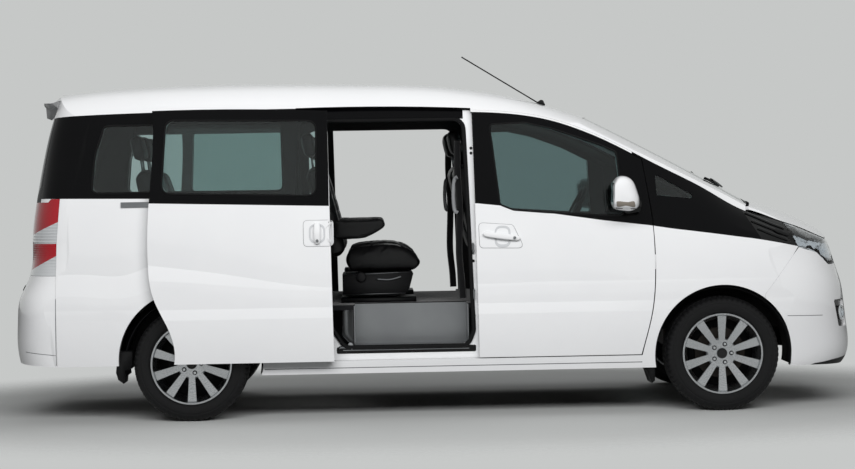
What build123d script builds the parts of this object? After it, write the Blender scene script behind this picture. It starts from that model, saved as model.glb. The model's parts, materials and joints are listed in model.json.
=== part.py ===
"""Full-size passenger van (MPV): two hinged front doors, two sliding side doors, a tailgate and a bonnet.

Frame: millimetres, +X forward, +Y left, +Z up. The origin is on the ground under the middle of the
van's length and width. Station lists along the body are measured from the middle of the wheelbase.
"""
import math
import os

from build123d import *

# ---------------------------------------------------------------- driving dimensions
WHEELBASE = 3200.0
FRONT_OVERHANG = 913.0
REAR_OVERHANG = 1134.0
HALF_WIDTH = 960.0
ROOF_Z = 2053.0          # top of the roof on the centre line
DRIP_Z = 1859.0          # roof's lower side edge, above the side glass
BELT_Z = 1278.0          # lower edge of the side glass band at the centre pillar
SILL_Z = 270.0           # underside of the sills
FLOOR_Z = 678.0          # top of the cabin floor
FLOOR_THICKNESS = 30.0

TYRE_RADIUS = 345.0
TYRE_WIDTH = 232.0
RIM_RADIUS = 243.0
WHEEL_FACE_Y = 940.0     # outer side of the tyres
FRONT_ARCH_RADIUS = 417.0
REAR_ARCH_RADIUS = 432.0
REAR_ARCH_RISE = 16.0    # the rear arch's centre lies this far above the hub
FRONT_ARCH_X = 5.0       # the front arch's centre lies this far ahead of the hub

SKIN = 52.0              # thickness of doors, tailgate and bonnet
WALL = 84.0              # thickness of the side frames with their inner flange
GAP = 6.0                # shut line between neighbouring panels
GLASS = 5.0              # thickness of the panes
GLASS_INSET = 3.0        # how far the panes lie behind the outer skin
GLASS_FIT = 0.4          # clearance of a pane in its opening

# ---------------------------------------------------------------- derived datums
LENGTH = FRONT_OVERHANG + WHEELBASE + REAR_OVERHANG
FRONT_AXLE_X = LENGTH / 2 - FRONT_OVERHANG
REAR_AXLE_X = FRONT_AXLE_X - WHEELBASE
AXLE_Z = TYRE_RADIUS
STATION_BASE = 1600.0    # distance from the middle to either axle in the station lists
SPLIT = -200.0           # stations ahead of this follow the front axle, the others the rear axle
FAR = 4000.0

# ---------------------------------------------------------------- panels, glass, lamps and chassis
SEAM = 0.8                      # seam between fixed panels
FRONT_DOOR_LENGTH = 1075.0
DOOR_BOTTOM_Z = 346.0
FRONT_DOOR_X = 1200.0           # station of the front door's leading edge at the hinge
CENTRE_X = FRONT_DOOR_X - FRONT_DOOR_LENGTH      # shut line at the centre pillar, at the sill
SLIDE_REAR_X = -975.0           # station of the closed sliding door's rear edge at the belt
SLIDE_TRAVEL = 860.0            # how far the sliding doors stand open
SLIDE_OUT = 84.0                # how far they stand out from the body side
CENTRE_LEAN = 20.0              # how far the centre shut line leans back to the roof
APERTURE_Z = 436.0              # lower edge of the side doorways
DRIP_CLEAR = 12.0               # the front door's upper edge lies this far below the roof's edge
SLIDE_OVERLAP = 12.0            # the sliding door's upper edge covers the roof's edge by this much
SLIDE_GLASS = [(-861, 1802), (31, 1786), (27, 1345), (-888, 1372)]
QUARTER_GLASS = [(-2100, 1778), (-1040, 1778), (-1030, 1377), (-2175, 1382), (-2150, 1600)]
CORNER_GLASS = [(1216, 1437), (1218, 1308), (1430, 1284), (1446, 1306)]
GLASS_RADIUS = 38.0
BUMPER_REAR_X = -2397.0         # seam between rear bumper and quarter panel
LAMP_BOTTOM_Z = 888.0
LAMP_TOP_Z = 1349.0
BUMPER_LOW_Z = 342.0
JOINT_LOW = (1859, 698)         # seam between front bumper and fender, from the arch upwards
JOINT_HIGH = (2042, 931)
LAMP_REAR_X = 2078.0            # where fender, bumper and headlamp meet, on the crease
LAMP_LEAN = 80.0                # how far the headlamp's rear edge leans back up to the bonnet
VENT_TOP_X = 1748.0             # rear edge of the gill vent, at the bonnet's side line
VENT_LOW_X = 1850.0             # and at the crease
FENDER_SKIN = 40.0              # thickness of fenders and bonnet
COWL_GAP = 18.0             # room behind the bonnet, so that it clears cowl and pillars as it lifts
PIN_GAP = 0.4                   # clearance between a hinge's leaf and the piece it carries
TAILGATE_LOW_Y = 690.0
TAILGATE_TOP_Z = 1864.0
TAILGATE_LOW_Z = 856.0
SCREEN_FOOT_Y = 690.0
SCREEN_LOW = [(SCREEN_FOOT_Y, 1252), (600, 1270), (350, 1283), (0, 1290)]      # windscreen's lower edge
UPPER_FRONT_X = 1900.0
BONNET_REAR_X = 1890.0          # station of the bonnet's rear edge on the centre line
BONNET_FRONT_X = 2380.0
HOOD_PIN_DEPTH = 4.0            # the bonnet's hinge line lies this far under the outer skin
HOOD_PIN_Y = 722.0              # the bonnet's hinges lie at this distance from the centre line
LAMP_INNER_Y = 430.0
FOG_Y = 700.0
FOG_Z = 566.0
FOG_RADIUS = 42.0
INNER = WALL + SEAM             # inset of the cabin's inner faces
FLOOR_FRONT = 1180.0            # station of the bulkhead's front face
FLOOR_REAR = -2560.0
RAIL_Y = 420.0
RAIL_WIDTH = 90.0
RAIL_LOW_Z = 470.0
TUB_WALL = 4.0
HOUSE_INNER_Y = 610.0           # inner wall of the rear wheelhouses
FRONT_HOUSE_Y = 545.0           # inner wall of the front wheelhouses, clear of the steered tyres
STEP_REAR_X = SLIDE_REAR_X + 360
STEP_FRONT_X = CENTRE_X - 60
STEP_Z = APERTURE_Z - 16        # underside of the step plate in the side doorway
STEP_INNER_Y = 640.0
HITCH_X = -2380.0               # station of the tow bracket's bolts in the rails
HITCH_PITCH = 120.0
HITCH_BOLT_RADIUS = 6.5
HUB_BORE = 32.0
STUB_FIT = 0.3
WHEEL_Y = WHEEL_FACE_Y - TYRE_WIDTH / 2
RIM_WIDTH = 200.0
RIM_WALL = 10.0
SPOKES = 10
KING_RADIUS = 12.0
KING_Y = WHEEL_Y - 62.0         # distance of the steering axis from the centre line
ARM_Z = AXLE_Z - 95.0           # middle of the lower arm
ARM_END_RADIUS = 24.0           # rounded end of the lower arm, clear of the steered brake disc
PIN_FIT = 0.3
SEAT_GAP = 0.3                  # joint between pieces bolted to each other
EXHAUST_Y = 210.0
SILENCER_Y = 150.0
PIPE_RADIUS = 27.0
BEAM_RADIUS = 45.0
TRAILING_ARM_Y = 470.0
COLUMN_TILT = 28.0
WHEEL_HUB = (840.0, 400.0, 1200.0)      # station, Y and Z of the steering wheel's centre
STEER_RADIUS = 190.0
CUSHION_Z = 1000.0
CUSHION_HEIGHT = 130.0
RAIL_PROUD = 8.0                # how far the centre rail stands out of the quarter panel


def place(x):
    """Turn a station from the wheelbase's middle into X in the row frame."""
    if x > SPLIT:
        return FRONT_AXLE_X - STATION_BASE + x
    return REAR_AXLE_X + STATION_BASE + x


def lerp(table, x):
    """Read a table of (position, value) pairs with straight lines between them."""
    if x <= table[0][0]:
        return table[0][1]
    for (x0, v0), (x1, v1) in zip(table, table[1:]):
        if x <= x1:
            return v0 + (v1 - v0) * (x - x0) / (x1 - x0)
    return table[-1][1]


# ---------------------------------------------------------------- feature lines of the body
# Half-width of the body side along the van, as a change from HALF_WIDTH.
WIDTH_LINE = [(-2750, -34), (-2400, -12), (-1900, -1), (-1000, 0), (1300, 0), (1600, -3),
              (1800, -14), (2000, -34), (2200, -66), (2560, -140)]
# Lower edge of the glass band, then the crease along the fender's top: (station, change from BELT_Z).
BELT_LINE = [(-2750, 74), (-2366, 71), (-1838, 62), (129, 0), (278, -17), (539, -62), (887, -115),
             (1167, -150), (1357, -180), (1523, -202), (1688, -226), (1813, -244), (1937, -266),
             (2044, -288), (2300, -345), (2560, -400)]
# Roof's lower side edge, down the front pillar and along the bonnet's side: (station, change from DRIP_Z).
DRIP_LINE = [(-2750, -42), (-2375, -18), (-2160, -9), (-1830, -1), (-320, 0), (110, -16), (382, -35),
             (559, -67), (735, -123), (910, -197), (1085, -287), (1155, -325), (1348, -424),
             (1524, -516), (1744, -643), (1889, -686), (2015, -735), (2099, -762), (2183, -797),
             (2300, -845), (2560, -868)]
DRIP_Y = [(-2750, 812), (-2400, 826), (-1800, 832), (500, 832), (1100, 822), (1744, 766), (2233, 750),
          (2560, 720)]
# Upper facet of the rear quarter, fading forwards along the sliding door: height and depth.
FACET_TOP = [(-2750, 892), (-2377, 892), (-1983, 886), (-1846, 932), (-1600, 985), (-1250, 978),
             (-972, 944), (-500, 880), (13, 800), (700, 800), (2560, 800)]
FACET_LOW = [(-2750, 763), (-2377, 763), (-1983, 750), (-1846, 790), (-1600, 858), (-1250, 858),
             (-972, 852), (-500, 815), (13, 775), (700, 775), (2560, 775)]
FACET_DEPTH = [(-2750, 17), (-900, 14), (-300, 7), (60, 1), (2560, 1)]
# Lower facet of the doors: top, bottom and depth.
LEDGE_TOP = 678.0
LEDGE_LOW = 615.0
LEDGE_DEPTH = [(-2750, 1), (-1500, 1), (-1100, 9), (900, 9), (1300, 1), (2560, 1)]
SIDE_STATIONS = [-2750, -2560, -2377, -2160, -1983, -1846, -1600, -1250, -972, -500, 13, 450, 887, 1180,
                 1450, 1744, 2000, 2200, 2400, 2560]


def side_vertices(x, inset=0.0):
    """Half cross-section of the body side at station x, as (y, z) corners from the sill up."""
    w = HALF_WIDTH + lerp(WIDTH_LINE, x) - inset
    ledge = lerp(LEDGE_DEPTH, x)
    facet = lerp(FACET_DEPTH, x)
    drip = (lerp(DRIP_Y, x) - inset, DRIP_Z + lerp(DRIP_LINE, x))
    return [
        (w - 95, SILL_Z - 160),
        (w - 36, SILL_Z),
        (w, LEDGE_LOW),
        (w - ledge, LEDGE_TOP),
        (w - ledge - 2, lerp(FACET_LOW, x)),
        (w - ledge - 3 - facet, lerp(FACET_TOP, x)),
        (w - 32, BELT_Z + lerp(BELT_LINE, x)),
        drip,
        (drip[0] - 60, drip[1] + 170),
    ]


SIDE_BULGE = [0, 6, 0.5, 0.5, 0.5, 5, 13, 0]   # outward bow of each stretch between those corners


def side_y(x, z):
    """Y of the body side at station x and height z."""
    return lerp([(v[1], v[0]) for v in side_vertices(x)], z)


def bowed(p, q, bulge):
    """Arc from p to q in a cross-section, bowed outwards, or a line where it has no bow."""
    if abs(bulge) < 0.1:
        return Edge.make_line(p, q)
    middle = (p + q) * 0.5
    along = (q - p).normalized()
    side = 1.0 if p.Y + q.Y > 0 else -1.0
    outward = Vector(0, along.Z, -along.Y)
    if outward.Y * side < 0:
        outward = outward * -1
    return Edge.make_three_point_arc(p, middle + outward * bulge, q)


def side_section(x, inset):
    """Closed cross-section of the side form at station x."""
    half = side_vertices(x, inset)
    roof = half[-1][1] + 330
    px = place(x)
    right = [Vector(px, -y, z) for y, z in half]
    left = [Vector(px, y, z) for y, z in reversed(half)]
    edges = [bowed(p, q, b) for p, q, b in zip(right, right[1:], SIDE_BULGE)]
    edges.append(Edge.make_line(right[-1], Vector(px, 0, roof)))
    edges.append(Edge.make_line(Vector(px, 0, roof), left[0]))
    edges += [bowed(p, q, b) for p, q, b in zip(left, left[1:], reversed(SIDE_BULGE))]
    edges.append(Edge.make_line(left[-1], right[0]))
    return Wire(edges)


def side_form(inset=0.0):
    """Solid that gives the body sides; inset shrinks it to the inner face of a wall."""
    return Solid.make_loft([side_section(x, inset) for x in SIDE_STATIONS])


# Nose and tail on the centre line: (height, station).
NOSE_LINE = [(120, 2430), (248, 2470), (300, 2511), (456, 2512), (613, 2494), (717, 2482), (796, 2463),
             (875, 2432), (979, 2404), (1060, 2372), (1200, 2290), (1500, 2200), (2400, 2100)]
TAIL_LINE = [(120, -2650), (300, -2700), (402, -2733), (599, -2730), (720, -2718), (795, -2700),
             (850, -2662), (900, -2640), (1039, -2629), (1186, -2624), (1333, -2598), (1528, -2563),
             (1700, -2521), (1821, -2480), (1989, -2441), (2400, -2400)]
END_LEVELS = [100, 248, 320, 460, 613, 740, 850, 920, 1100, 1333, 1600, 1880, 2050, 2400]
NOSE_CROWN = 2.35e-4     # how fast the nose falls back from the centre line, per mm squared
TAIL_CROWN = 1.25e-4
NOSE_CORNER_Y = 620.0    # where the nose turns into its corner
TAIL_CORNER_Y = 660.0
NOSE_CORNER_X = 512.0    # length of the corner along the van
TAIL_CORNER_X = 300.0
SIDE_CLEAR = 60.0        # between its corners this form stands clear of the body sides by so much
SIDE_CLEAR_RUN = 260.0   # within this length of each corner


def end_section(z, inset):
    """Closed plan outline of the van at height z, for the nose and tail form."""
    nose = lerp(NOSE_LINE, z) - inset
    tail = lerp(TAIL_LINE, z) + inset
    zc = min(z, DRIP_Z - 20)
    front_side_x = nose - NOSE_CORNER_X
    rear_side_x = tail + TAIL_CORNER_X
    front_y = side_y(min(front_side_x, 2000), min(zc, 950)) - inset + 1
    rear_y = side_y(rear_side_x, zc) - inset + 1
    nose_y = NOSE_CORNER_Y - inset
    tail_y = min(TAIL_CORNER_Y, rear_y - 150)
    a = (nose - NOSE_CROWN * nose_y**2, nose_y)
    b = (front_side_x, front_y)
    c = (rear_side_x, rear_y)
    d = (tail + TAIL_CROWN * tail_y**2, tail_y)
    wide = HALF_WIDTH + SIDE_CLEAR - inset
    front_wide = (front_side_x - SIDE_CLEAR_RUN, wide)
    rear_wide = (rear_side_x + SIDE_CLEAR_RUN, wide)
    front_slope = 2 * NOSE_CROWN * nose_y
    rear_slope = 2 * TAIL_CROWN * tail_y
    front_knee = (a[0] - front_slope * (b[1] - a[1] - 40), b[1] - 40)
    rear_knee = (d[0] + rear_slope * (c[1] - d[1] - 4), c[1] - 4)

    def at(p, side):
        return Vector(place(p[0]), side * p[1], z)

    edges = [Edge.make_three_point_arc(at(a, -1), at((nose, 0), 1), at(a, 1)),
             Edge.make_bezier(at(a, 1), at(front_knee, 1), at(b, 1)),
             Edge.make_line(at(b, 1), at(front_wide, 1)),
             Edge.make_line(at(front_wide, 1), at(rear_wide, 1)),
             Edge.make_line(at(rear_wide, 1), at(c, 1)),
             Edge.make_bezier(at(c, 1), at(rear_knee, 1), at(d, 1)),
             Edge.make_three_point_arc(at(d, 1), at((tail, 0), 1), at(d, -1)),
             Edge.make_bezier(at(d, -1), at(rear_knee, -1), at(c, -1)),
             Edge.make_line(at(c, -1), at(rear_wide, -1)),
             Edge.make_line(at(rear_wide, -1), at(front_wide, -1)),
             Edge.make_line(at(front_wide, -1), at(b, -1)),
             Edge.make_bezier(at(b, -1), at(front_knee, -1), at(a, -1))]
    return Wire(edges)


def end_form(inset=0.0):
    """Solid that gives the nose and the tail with their rounded corners."""
    return Solid.make_loft([end_section(z, inset) for z in END_LEVELS])


# Top of the van on the centre line: (station, drop below ROOF_Z).
ROOF_LINE = [(-2750, 110), (-2441, 60), (-2243, 35), (-1963, 15), (-1590, 3), (-1200, 0), (-561, 11),
             (-94, 32), (287, 84), (595, 158), (722, 199), (865, 247)]
SCREEN_LINE = [(865, 247), (1370, 510), (1875, 791)]
BONNET_LINE = [(1875, 791), (2034, 828), (2204, 899), (2317, 960), (2392, 1018), (2560, 1180)]
TOP_Y = [0, 250, 450, 600, 700, 770, 832, 900, 1050]
ROOF_DROP = [(0, 0), (250, 3), (450, 11), (600, 26), (700, 50), (770, 100), (832, 192),
             (900, 400), (1050, 850)]
SCREEN_DROP = [(0, 0), (250, 3), (450, 8), (600, 14), (700, 22), (770, 36), (832, 60), (900, 100),
               (1050, 200)]
BONNET_DROP = [(0, 0), (250, 5), (450, 18), (600, 36), (700, 58), (770, 80), (832, 112),
               (900, 150), (1050, 260)]
SCREEN_SWEEP = 1.6e-4    # plan sweep of the windscreen, per mm squared


def top_profile(y, inset):
    """Closed side profile of the van's top at distance y from the centre line."""
    sweep = SCREEN_SWEEP * y * y

    def roof_at(x, drop):
        share = min(1.0, max(0.0, (x + 600) / (865 + 600)))
        fall = lerp(ROOF_DROP, abs(y)) * (1 - share**3) + lerp(SCREEN_DROP, abs(y)) * share**3
        return Vector(place(x - sweep * share**2), y, ROOF_Z - drop - fall - inset)

    def screen_at(x, drop):
        return Vector(place(x - sweep), y, ROOF_Z - drop - lerp(SCREEN_DROP, abs(y)) - inset)

    def bonnet_at(x, drop):
        share = min(1.0, (x - 1875) / 250)
        fall = lerp(SCREEN_DROP, abs(y)) * (1 - share) + lerp(BONNET_DROP, abs(y)) * share
        return Vector(place(x - sweep), y, ROOF_Z - drop - fall - inset)

    roof = [roof_at(x, d) for x, d in ROOF_LINE]
    screen = [screen_at(x, d) for x, d in SCREEN_LINE]
    bonnet = [bonnet_at(x, d) for x, d in BONNET_LINE]
    screen[0] = roof[-1]
    bonnet[0] = screen[-1]
    low = SILL_Z - 200
    edges = [Edge.make_spline(roof),
             Edge.make_spline(screen),
             Edge.make_spline(bonnet),
             Edge.make_line(bonnet[-1], Vector(bonnet[-1].X, y, low)),
             Edge.make_line(Vector(bonnet[-1].X, y, low), Vector(roof[0].X, y, low)),
             Edge.make_line(Vector(roof[0].X, y, low), roof[0])]
    return Wire(edges)


def top_form(inset=0.0):
    """Solid under the roof, windscreen and bonnet surfaces."""
    stations = [-y for y in reversed(TOP_Y[1:])] + TOP_Y
    return Solid.make_loft([top_profile(y, inset) for y in stations])


def body_form(inset=0.0):
    """Closed solid of the whole body, its walls moved inwards by inset."""
    return side_form(inset) & end_form(inset) & top_form(inset)


# ---------------------------------------------------------------- shells and cutting tools
FORMS = {}


def form(inset):
    """Body form at the given inset, built once."""
    if inset not in FORMS:
        FORMS[inset] = body_form(inset)
    return FORMS[inset]


def shell(outer, inner):
    """Wall of the body between two insets."""
    key = (outer, inner)
    if key not in FORMS:
        FORMS[key] = form(outer) - form(inner)
    return FORMS[key]


def layer(maker, outer, thickness, tool):
    """Thin layer of one of the three forms, inside a cutting tool."""
    for inset in (outer, outer + thickness):
        if (maker, inset) not in FORMS:
            FORMS[(maker, inset)] = maker(inset)
    return (tool & FORMS[(maker, outer)]) - FORMS[(maker, outer + thickness)]


def block(x0, x1, y0, y1, z0, z1):
    """Box between row-frame limits."""
    return Pos((x0 + x1) / 2, (y0 + y1) / 2, (z0 + z1) / 2) * Box(x1 - x0, y1 - y0, z1 - z0)


def outline_face(runs, lift):
    """Planar face from runs of (a, b) points: two points make a line, more make a spline."""
    edges = []
    for run in runs:
        points = [lift(a, b) for a, b in run]
        edges.append(Edge.make_line(*points) if len(points) == 2 else Edge.make_spline(points))
    return Face(Wire(edges))


def side_prism(runs, y0, y1, grow=0.0, radius=0.0):
    """Prism across the van over an outline of (station, z) runs, grown and rounded as asked."""
    face = outline_face(runs, lambda x, z: Vector(place(x), 0, z))
    if grow:
        face = offset(face, amount=grow, kind=Kind.INTERSECTION).faces()[0]
    if radius:
        face = face.fillet_2d(radius, face.vertices())
    tool = Solid.extrude(face, Vector(0, y1 - y0, 0))
    return Pos(0, y0, 0) * tool


def end_prism(points, x0, x1, grow=0.0, radius=0.0):
    """Prism along the van over a polygon of (y, z) corners."""
    face = Face(Wire.make_polygon([Vector(0, y, z) for y, z in points], close=True))
    if grow:
        face = offset(face, amount=grow, kind=Kind.INTERSECTION).faces()[0]
    if radius:
        face = face.fillet_2d(radius, face.vertices())
    tool = Solid.extrude(face, Vector(x1 - x0, 0, 0))
    return Pos(x0, 0, 0) * tool


def line_run(table, base, x0, x1, dz=0.0):
    """Stretch of a feature line from station x0 to x1, as (station, z) points."""
    low, high = min(x0, x1), max(x0, x1)
    inside = [(x, base + v + dz) for x, v in table if low + 25 < x < high - 25]
    run = [(low, base + lerp(table, low) + dz)] + inside + [(high, base + lerp(table, high) + dz)]
    return run if x0 < x1 else run[::-1]


def polygon_runs(points):
    """Closed outline of straight runs."""
    return [[p, q] for p, q in zip(points, points[1:] + points[:1])]


def both_sides(piece):
    """The piece and its mirror image across the van's middle plane."""
    return [piece, mirror(piece, about=Plane.XZ)]


def across(piece):
    """Mirror image across the van's middle plane."""
    return mirror(piece, about=Plane.XZ)


def solids_of(*pieces):
    """Flat list of the solids in the given shapes."""
    out = []
    for piece in pieces:
        items = piece if isinstance(piece, (list, tuple)) else [piece]
        for item in items:
            out += list(item.solids())
    return out


def write(name, *pieces):
    """Write one node, as one STEP file of its solids."""
    solids = [s for s in solids_of(*pieces) if s.volume > 50]
    shape = solids[0] if len(solids) == 1 else Compound(children=solids)
    export_step(shape, f"parts/{name}.step")


# ---------------------------------------------------------------- outlines seen from the side


def front_door_runs(gap=0.0):
    """Shut line of the front door, or the door's own edge where a gap is given."""
    x = FRONT_DOOR_X - gap
    bottom = DOOR_BOTTOM_Z + gap
    rear = CENTRE_X + gap
    top = line_run(DRIP_LINE, DRIP_Z, rear - CENTRE_LEAN, x - 57, -DRIP_CLEAR - gap)
    front = [top[-1], (x - 38, 1385), (x - 19, 1244), (x - 7, 1130), (x, 948), (x, 866), (x - 10, 695),
             (x - 32, 565), (x - 60, 455), (x - 88, bottom)]
    return [top, front, [front[-1], (rear, bottom)], [(rear, bottom), top[0]]]


def sliding_door_runs(gap=0.0):
    """Shut line of the closed sliding door, or the door's own edge where a gap is given."""
    r = SLIDE_REAR_X + gap
    bottom = DOOR_BOTTOM_Z + gap
    front = CENTRE_X - gap
    top = line_run(DRIP_LINE, DRIP_Z, r + 25, front - CENTRE_LEAN, SLIDE_OVERLAP - gap)
    rear = [(r + 137, bottom), (r + 96, 590), (r + 25, 740), (r - 7, 943), (r + 6, 1336), top[0]]
    return [top, [top[-1], (front, bottom)], [(front, bottom), rear[0]], rear]


def doorway_points():
    """Clear doorway behind the sliding door, inside its flange."""
    return [(SLIDE_REAR_X + 40, DRIP_Z - 78), (CENTRE_X - 74, DRIP_Z - 78), (CENTRE_X - 37, 514),
            (CENTRE_X - 60, APERTURE_Z), (SLIDE_REAR_X + 300, APERTURE_Z), (SLIDE_REAR_X + 122, 725),
            (SLIDE_REAR_X + 50, 960)]


def front_doorway_points():
    """Clear doorway behind the front door, inside its flange."""
    x = FRONT_DOOR_X
    return [(CENTRE_X + 75, DRIP_Z - 75), (500, DRIP_Z - 108), (800, DRIP_Z - 222), (x - 110, 1490),
            (x - 90, 1150), (x - 80, 800), (x - 150, APERTURE_Z), (CENTRE_X + 70, APERTURE_Z)]


FRONT_GLASS = [(219, 1752), (429, 1756), (586, 1719), (726, 1672), (900, 1608), (979, 1572), (1008, 1191),
               (893, 1197), (542, 1221), (350, 1239), (272, 1269)]


def arch_cut(axle_x, rise, radius, y0, y1):
    """Cylinder across the body side at a wheel arch."""
    return Pos(axle_x, (y0 + y1) / 2, AXLE_Z + rise) * Rot(90, 0, 0) * Cylinder(radius, y1 - y0)


FRONT_ARCH = arch_cut(FRONT_AXLE_X + FRONT_ARCH_X, 0, FRONT_ARCH_RADIUS, -1100, -500)
REAR_ARCH = arch_cut(REAR_AXLE_X, REAR_ARCH_RISE, REAR_ARCH_RADIUS, -1100, -500)


# ---------------------------------------------------------------- body
def right_half(x0, x1, z0, z1):
    """Box over the van's right side, between stations and heights."""
    return block(place(x0), place(x1), -1200, -300, z0, z1)


def below_drip(x0, x1, dz):
    """Prism over the right side, under the roof's edge line between two stations."""
    top = line_run(DRIP_LINE, DRIP_Z, x0, x1, dz)
    corners = [(x1, 100), (x0, 100)]
    return side_prism([top, [top[-1], corners[0]], corners, [corners[1], top[0]]], -1200, -300)


JOINT_LAMP = (LAMP_REAR_X, BELT_Z + lerp(BELT_LINE, LAMP_REAR_X))


def fender_runs():
    """Fender seen from the side: below the crease, from the door to the bumper and the lamp."""
    x = FRONT_DOOR_X
    top = line_run(BELT_LINE, BELT_Z, x - 8, JOINT_LAMP[0])
    low = JOINT_LOW[0]
    door = [(x - 88, DOOR_BOTTOM_Z), (x - 60, 455), (x - 32, 565), (x - 10, 695), (x, 866), (x, 948), top[0]]
    return [top, [top[-1], JOINT_HIGH], [JOINT_HIGH, JOINT_LOW], [JOINT_LOW, (low, SILL_Z)],
            [(low, SILL_Z), (x - 88, SILL_Z)], [(x - 88, SILL_Z), door[0]], door]


def vent_top_z():
    """Height of the gill vent's rear upper corner."""
    return DRIP_Z + lerp(DRIP_LINE, VENT_TOP_X)


def vent_low_z():
    """Height of the gill vent's rear lower corner."""
    return BELT_Z + lerp(BELT_LINE, VENT_LOW_X)


def below_belt(x0, x1, dz):
    """Prism over the right side, under the crease that carries the side glass band."""
    top = line_run(BELT_LINE, BELT_Z, x0, x1, dz)
    return side_prism([top, [top[-1], (x1, 0)], [(x1, 0), (x0, 0)], [(x0, 0), top[0]]], -1200, -300)


def hinge_strip(z0, z1):
    """Fixed half of the front door's hinge, a thin leaf in the shut line."""
    x = place(FRONT_DOOR_X) - GAP / 2
    y = side_y(FRONT_DOOR_X, 900)
    leaf = GAP / 2 - PIN_GAP
    return block(x - leaf, x + leaf, -y, -y + WALL - 12, z0, z1)


def rebate(tool, depth):
    """Cutter that takes the right side away to a depth below the skin, inside a prism."""
    return tool - form(depth)


def make_side_frame():
    """Right side frame: pillars, sill, flanges and quarter panel with their openings."""
    region = below_drip(-2620, VENT_LOW_X, -SEAM) & right_half(-2620, VENT_LOW_X, SILL_Z, 1900)
    frame = shell(0, WALL) & region
    frame -= rebate(side_prism(front_door_runs(), -1200, -300), SKIN + GAP)
    frame -= rebate(side_prism(sliding_door_runs(), -1200, -300), SKIN + GAP)
    frame -= rebate(below_belt(FRONT_DOOR_X - 88, FRONT_DOOR_X + 40, SEAM), FENDER_SKIN + SEAM)
    frame -= below_belt(FRONT_DOOR_X + 30, 1950, SEAM)
    top_x = VENT_TOP_X - SEAM
    low_x = VENT_LOW_X - SEAM
    vent_edge = [(top_x, 1400), (top_x, vent_top_z()), (low_x, vent_low_z()), (low_x, 900),
                 (1950, 900), (1950, 1400)]
    frame -= side_prism(polygon_runs(vent_edge), -1200, -300)
    frame -= side_prism(polygon_runs(doorway_points()), -1200, -300, radius=60)
    frame -= side_prism(polygon_runs(front_doorway_points()), -1200, -300, radius=40)
    frame -= side_prism(polygon_runs(QUARTER_GLASS), -1200, -300, radius=GLASS_RADIUS)
    frame -= side_prism(polygon_runs(CORNER_GLASS), -1200, -300, radius=12)
    frame -= REAR_ARCH
    frame -= FRONT_ARCH
    frame -= right_half(-2900, BUMPER_REAR_X, 0, LAMP_BOTTOM_Z)
    frame -= right_half(-2900, -1700, 0, BUMPER_LOW_Z)
    frame -= tail_lamp_tool(0)
    frame -= end_prism(tailgate_points(), place(-2900), place(-2150))
    return frame


def tail_lamp_points():
    """Tail lamp seen from the side."""
    return [(-2364, LAMP_TOP_Z), (-2389, 1081), (-2396, LAMP_BOTTOM_Z), (-2900, LAMP_BOTTOM_Z),
            (-2900, LAMP_TOP_Z - 20), (-2440, LAMP_TOP_Z - 20), (-2421, LAMP_TOP_Z)]


def tail_lamp_tool(grow):
    """Prism over the right tail lamp."""
    return side_prism(polygon_runs(tail_lamp_points()), -1200, -TAILGATE_LOW_Y - 7, grow=grow)


def tailgate_points():
    """Tailgate seen from behind, as (y, z) corners."""
    half = [(TAILGATE_LOW_Y, TAILGATE_LOW_Z), (TAILGATE_LOW_Y, LAMP_TOP_Z + 8), (770, 1420),
            (735, 1800), (700, TAILGATE_TOP_Z)]
    return [(-y, z) for y, z in half] + [(y, z) for y, z in reversed(half)]


def screen_points():
    """Windscreen seen from the front, as (y, z) corners."""
    half = [(SCREEN_FOOT_Y, SCREEN_LOW[0][1]), (652, 1788), (450, 1798), (200, 1803)]
    upper = [(-y, z) for y, z in half] + [(y, z) for y, z in reversed(half)]
    low = SCREEN_LOW[1:]
    return upper + low + [(-y, z) for y, z in reversed(low[:-1])]


def cowl_points(grow):
    """Cowl between windscreen and bonnet seen from the front, as (y, z) corners."""
    side = SCREEN_FOOT_Y + grow
    top = [(y, z - SEAM + grow) for y, z in SCREEN_LOW[1:]]
    right = [(-side, 1100), (-side, SCREEN_LOW[0][1] - SEAM + grow)]
    left = [(-y, z) for y, z in reversed(right)]
    return right + [(-y, z) for y, z in top] + list(reversed(top[:-1])) + left


def make_cowl():
    """Cowl panel below the windscreen."""
    strip = shell(0, WALL - 34) & end_prism(cowl_points(-SEAM), place(1500), place(2000))
    return (strip & side_prism(upper_runs(), -1200, 1200)) - bonnet_plan(COWL_GAP)


def upper_runs():
    """Everything above the roof's edge line, seen from the side, back from the gill vents."""
    top = line_run(DRIP_LINE, DRIP_Z, -2620, UPPER_FRONT_X)
    return [top, [top[-1], (UPPER_FRONT_X, 1400)], [(UPPER_FRONT_X, 1400), (1600, 2200)],
            [(1600, 2200), (-2620, 2200)], [(-2620, 2200), top[0]]]


def make_roof():
    """Roof with the cant rails and windscreen pillars, down to the roof's edge line."""
    roof = shell(0, WALL - 34) & side_prism(upper_runs(), -1200, 1200)
    roof -= end_prism(screen_points(), place(500), place(2300))
    roof -= end_prism(cowl_points(0), place(1500), place(2000))
    roof -= bonnet_plan(COWL_GAP)
    for side in both_sides(rebate(side_prism(sliding_door_runs(), -1200, -300), SKIN + GAP)):
        roof -= side
    roof -= end_prism(tailgate_points(), place(-2900), place(-2300))
    leaf = GAP / 2 - PIN_GAP
    hinge_x = tailgate_axis_x()
    hinge_z = TAILGATE_TOP_Z - GAP / 2
    for y in (-70, 30):
        roof += block(hinge_x, hinge_x + WALL - 34, y, y + 40, hinge_z - leaf, hinge_z + GAP)
    for piece in both_sides(bonnet_tongue(0) - bonnet_plan(PIN_GAP)):
        roof += piece
    return roof


def tailgate_axis_x():
    """X of the tailgate's hinge line, at the outer skin."""
    return place(lerp(TAIL_LINE, TAILGATE_TOP_Z)) + 1.0


def make_tailgate():
    """Tailgate panel with its window cut."""
    panel = shell(0, SKIN) & end_prism(tailgate_points(), place(-2900), place(-2300), grow=-GAP)
    return panel - tailgate_window(0)


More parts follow.
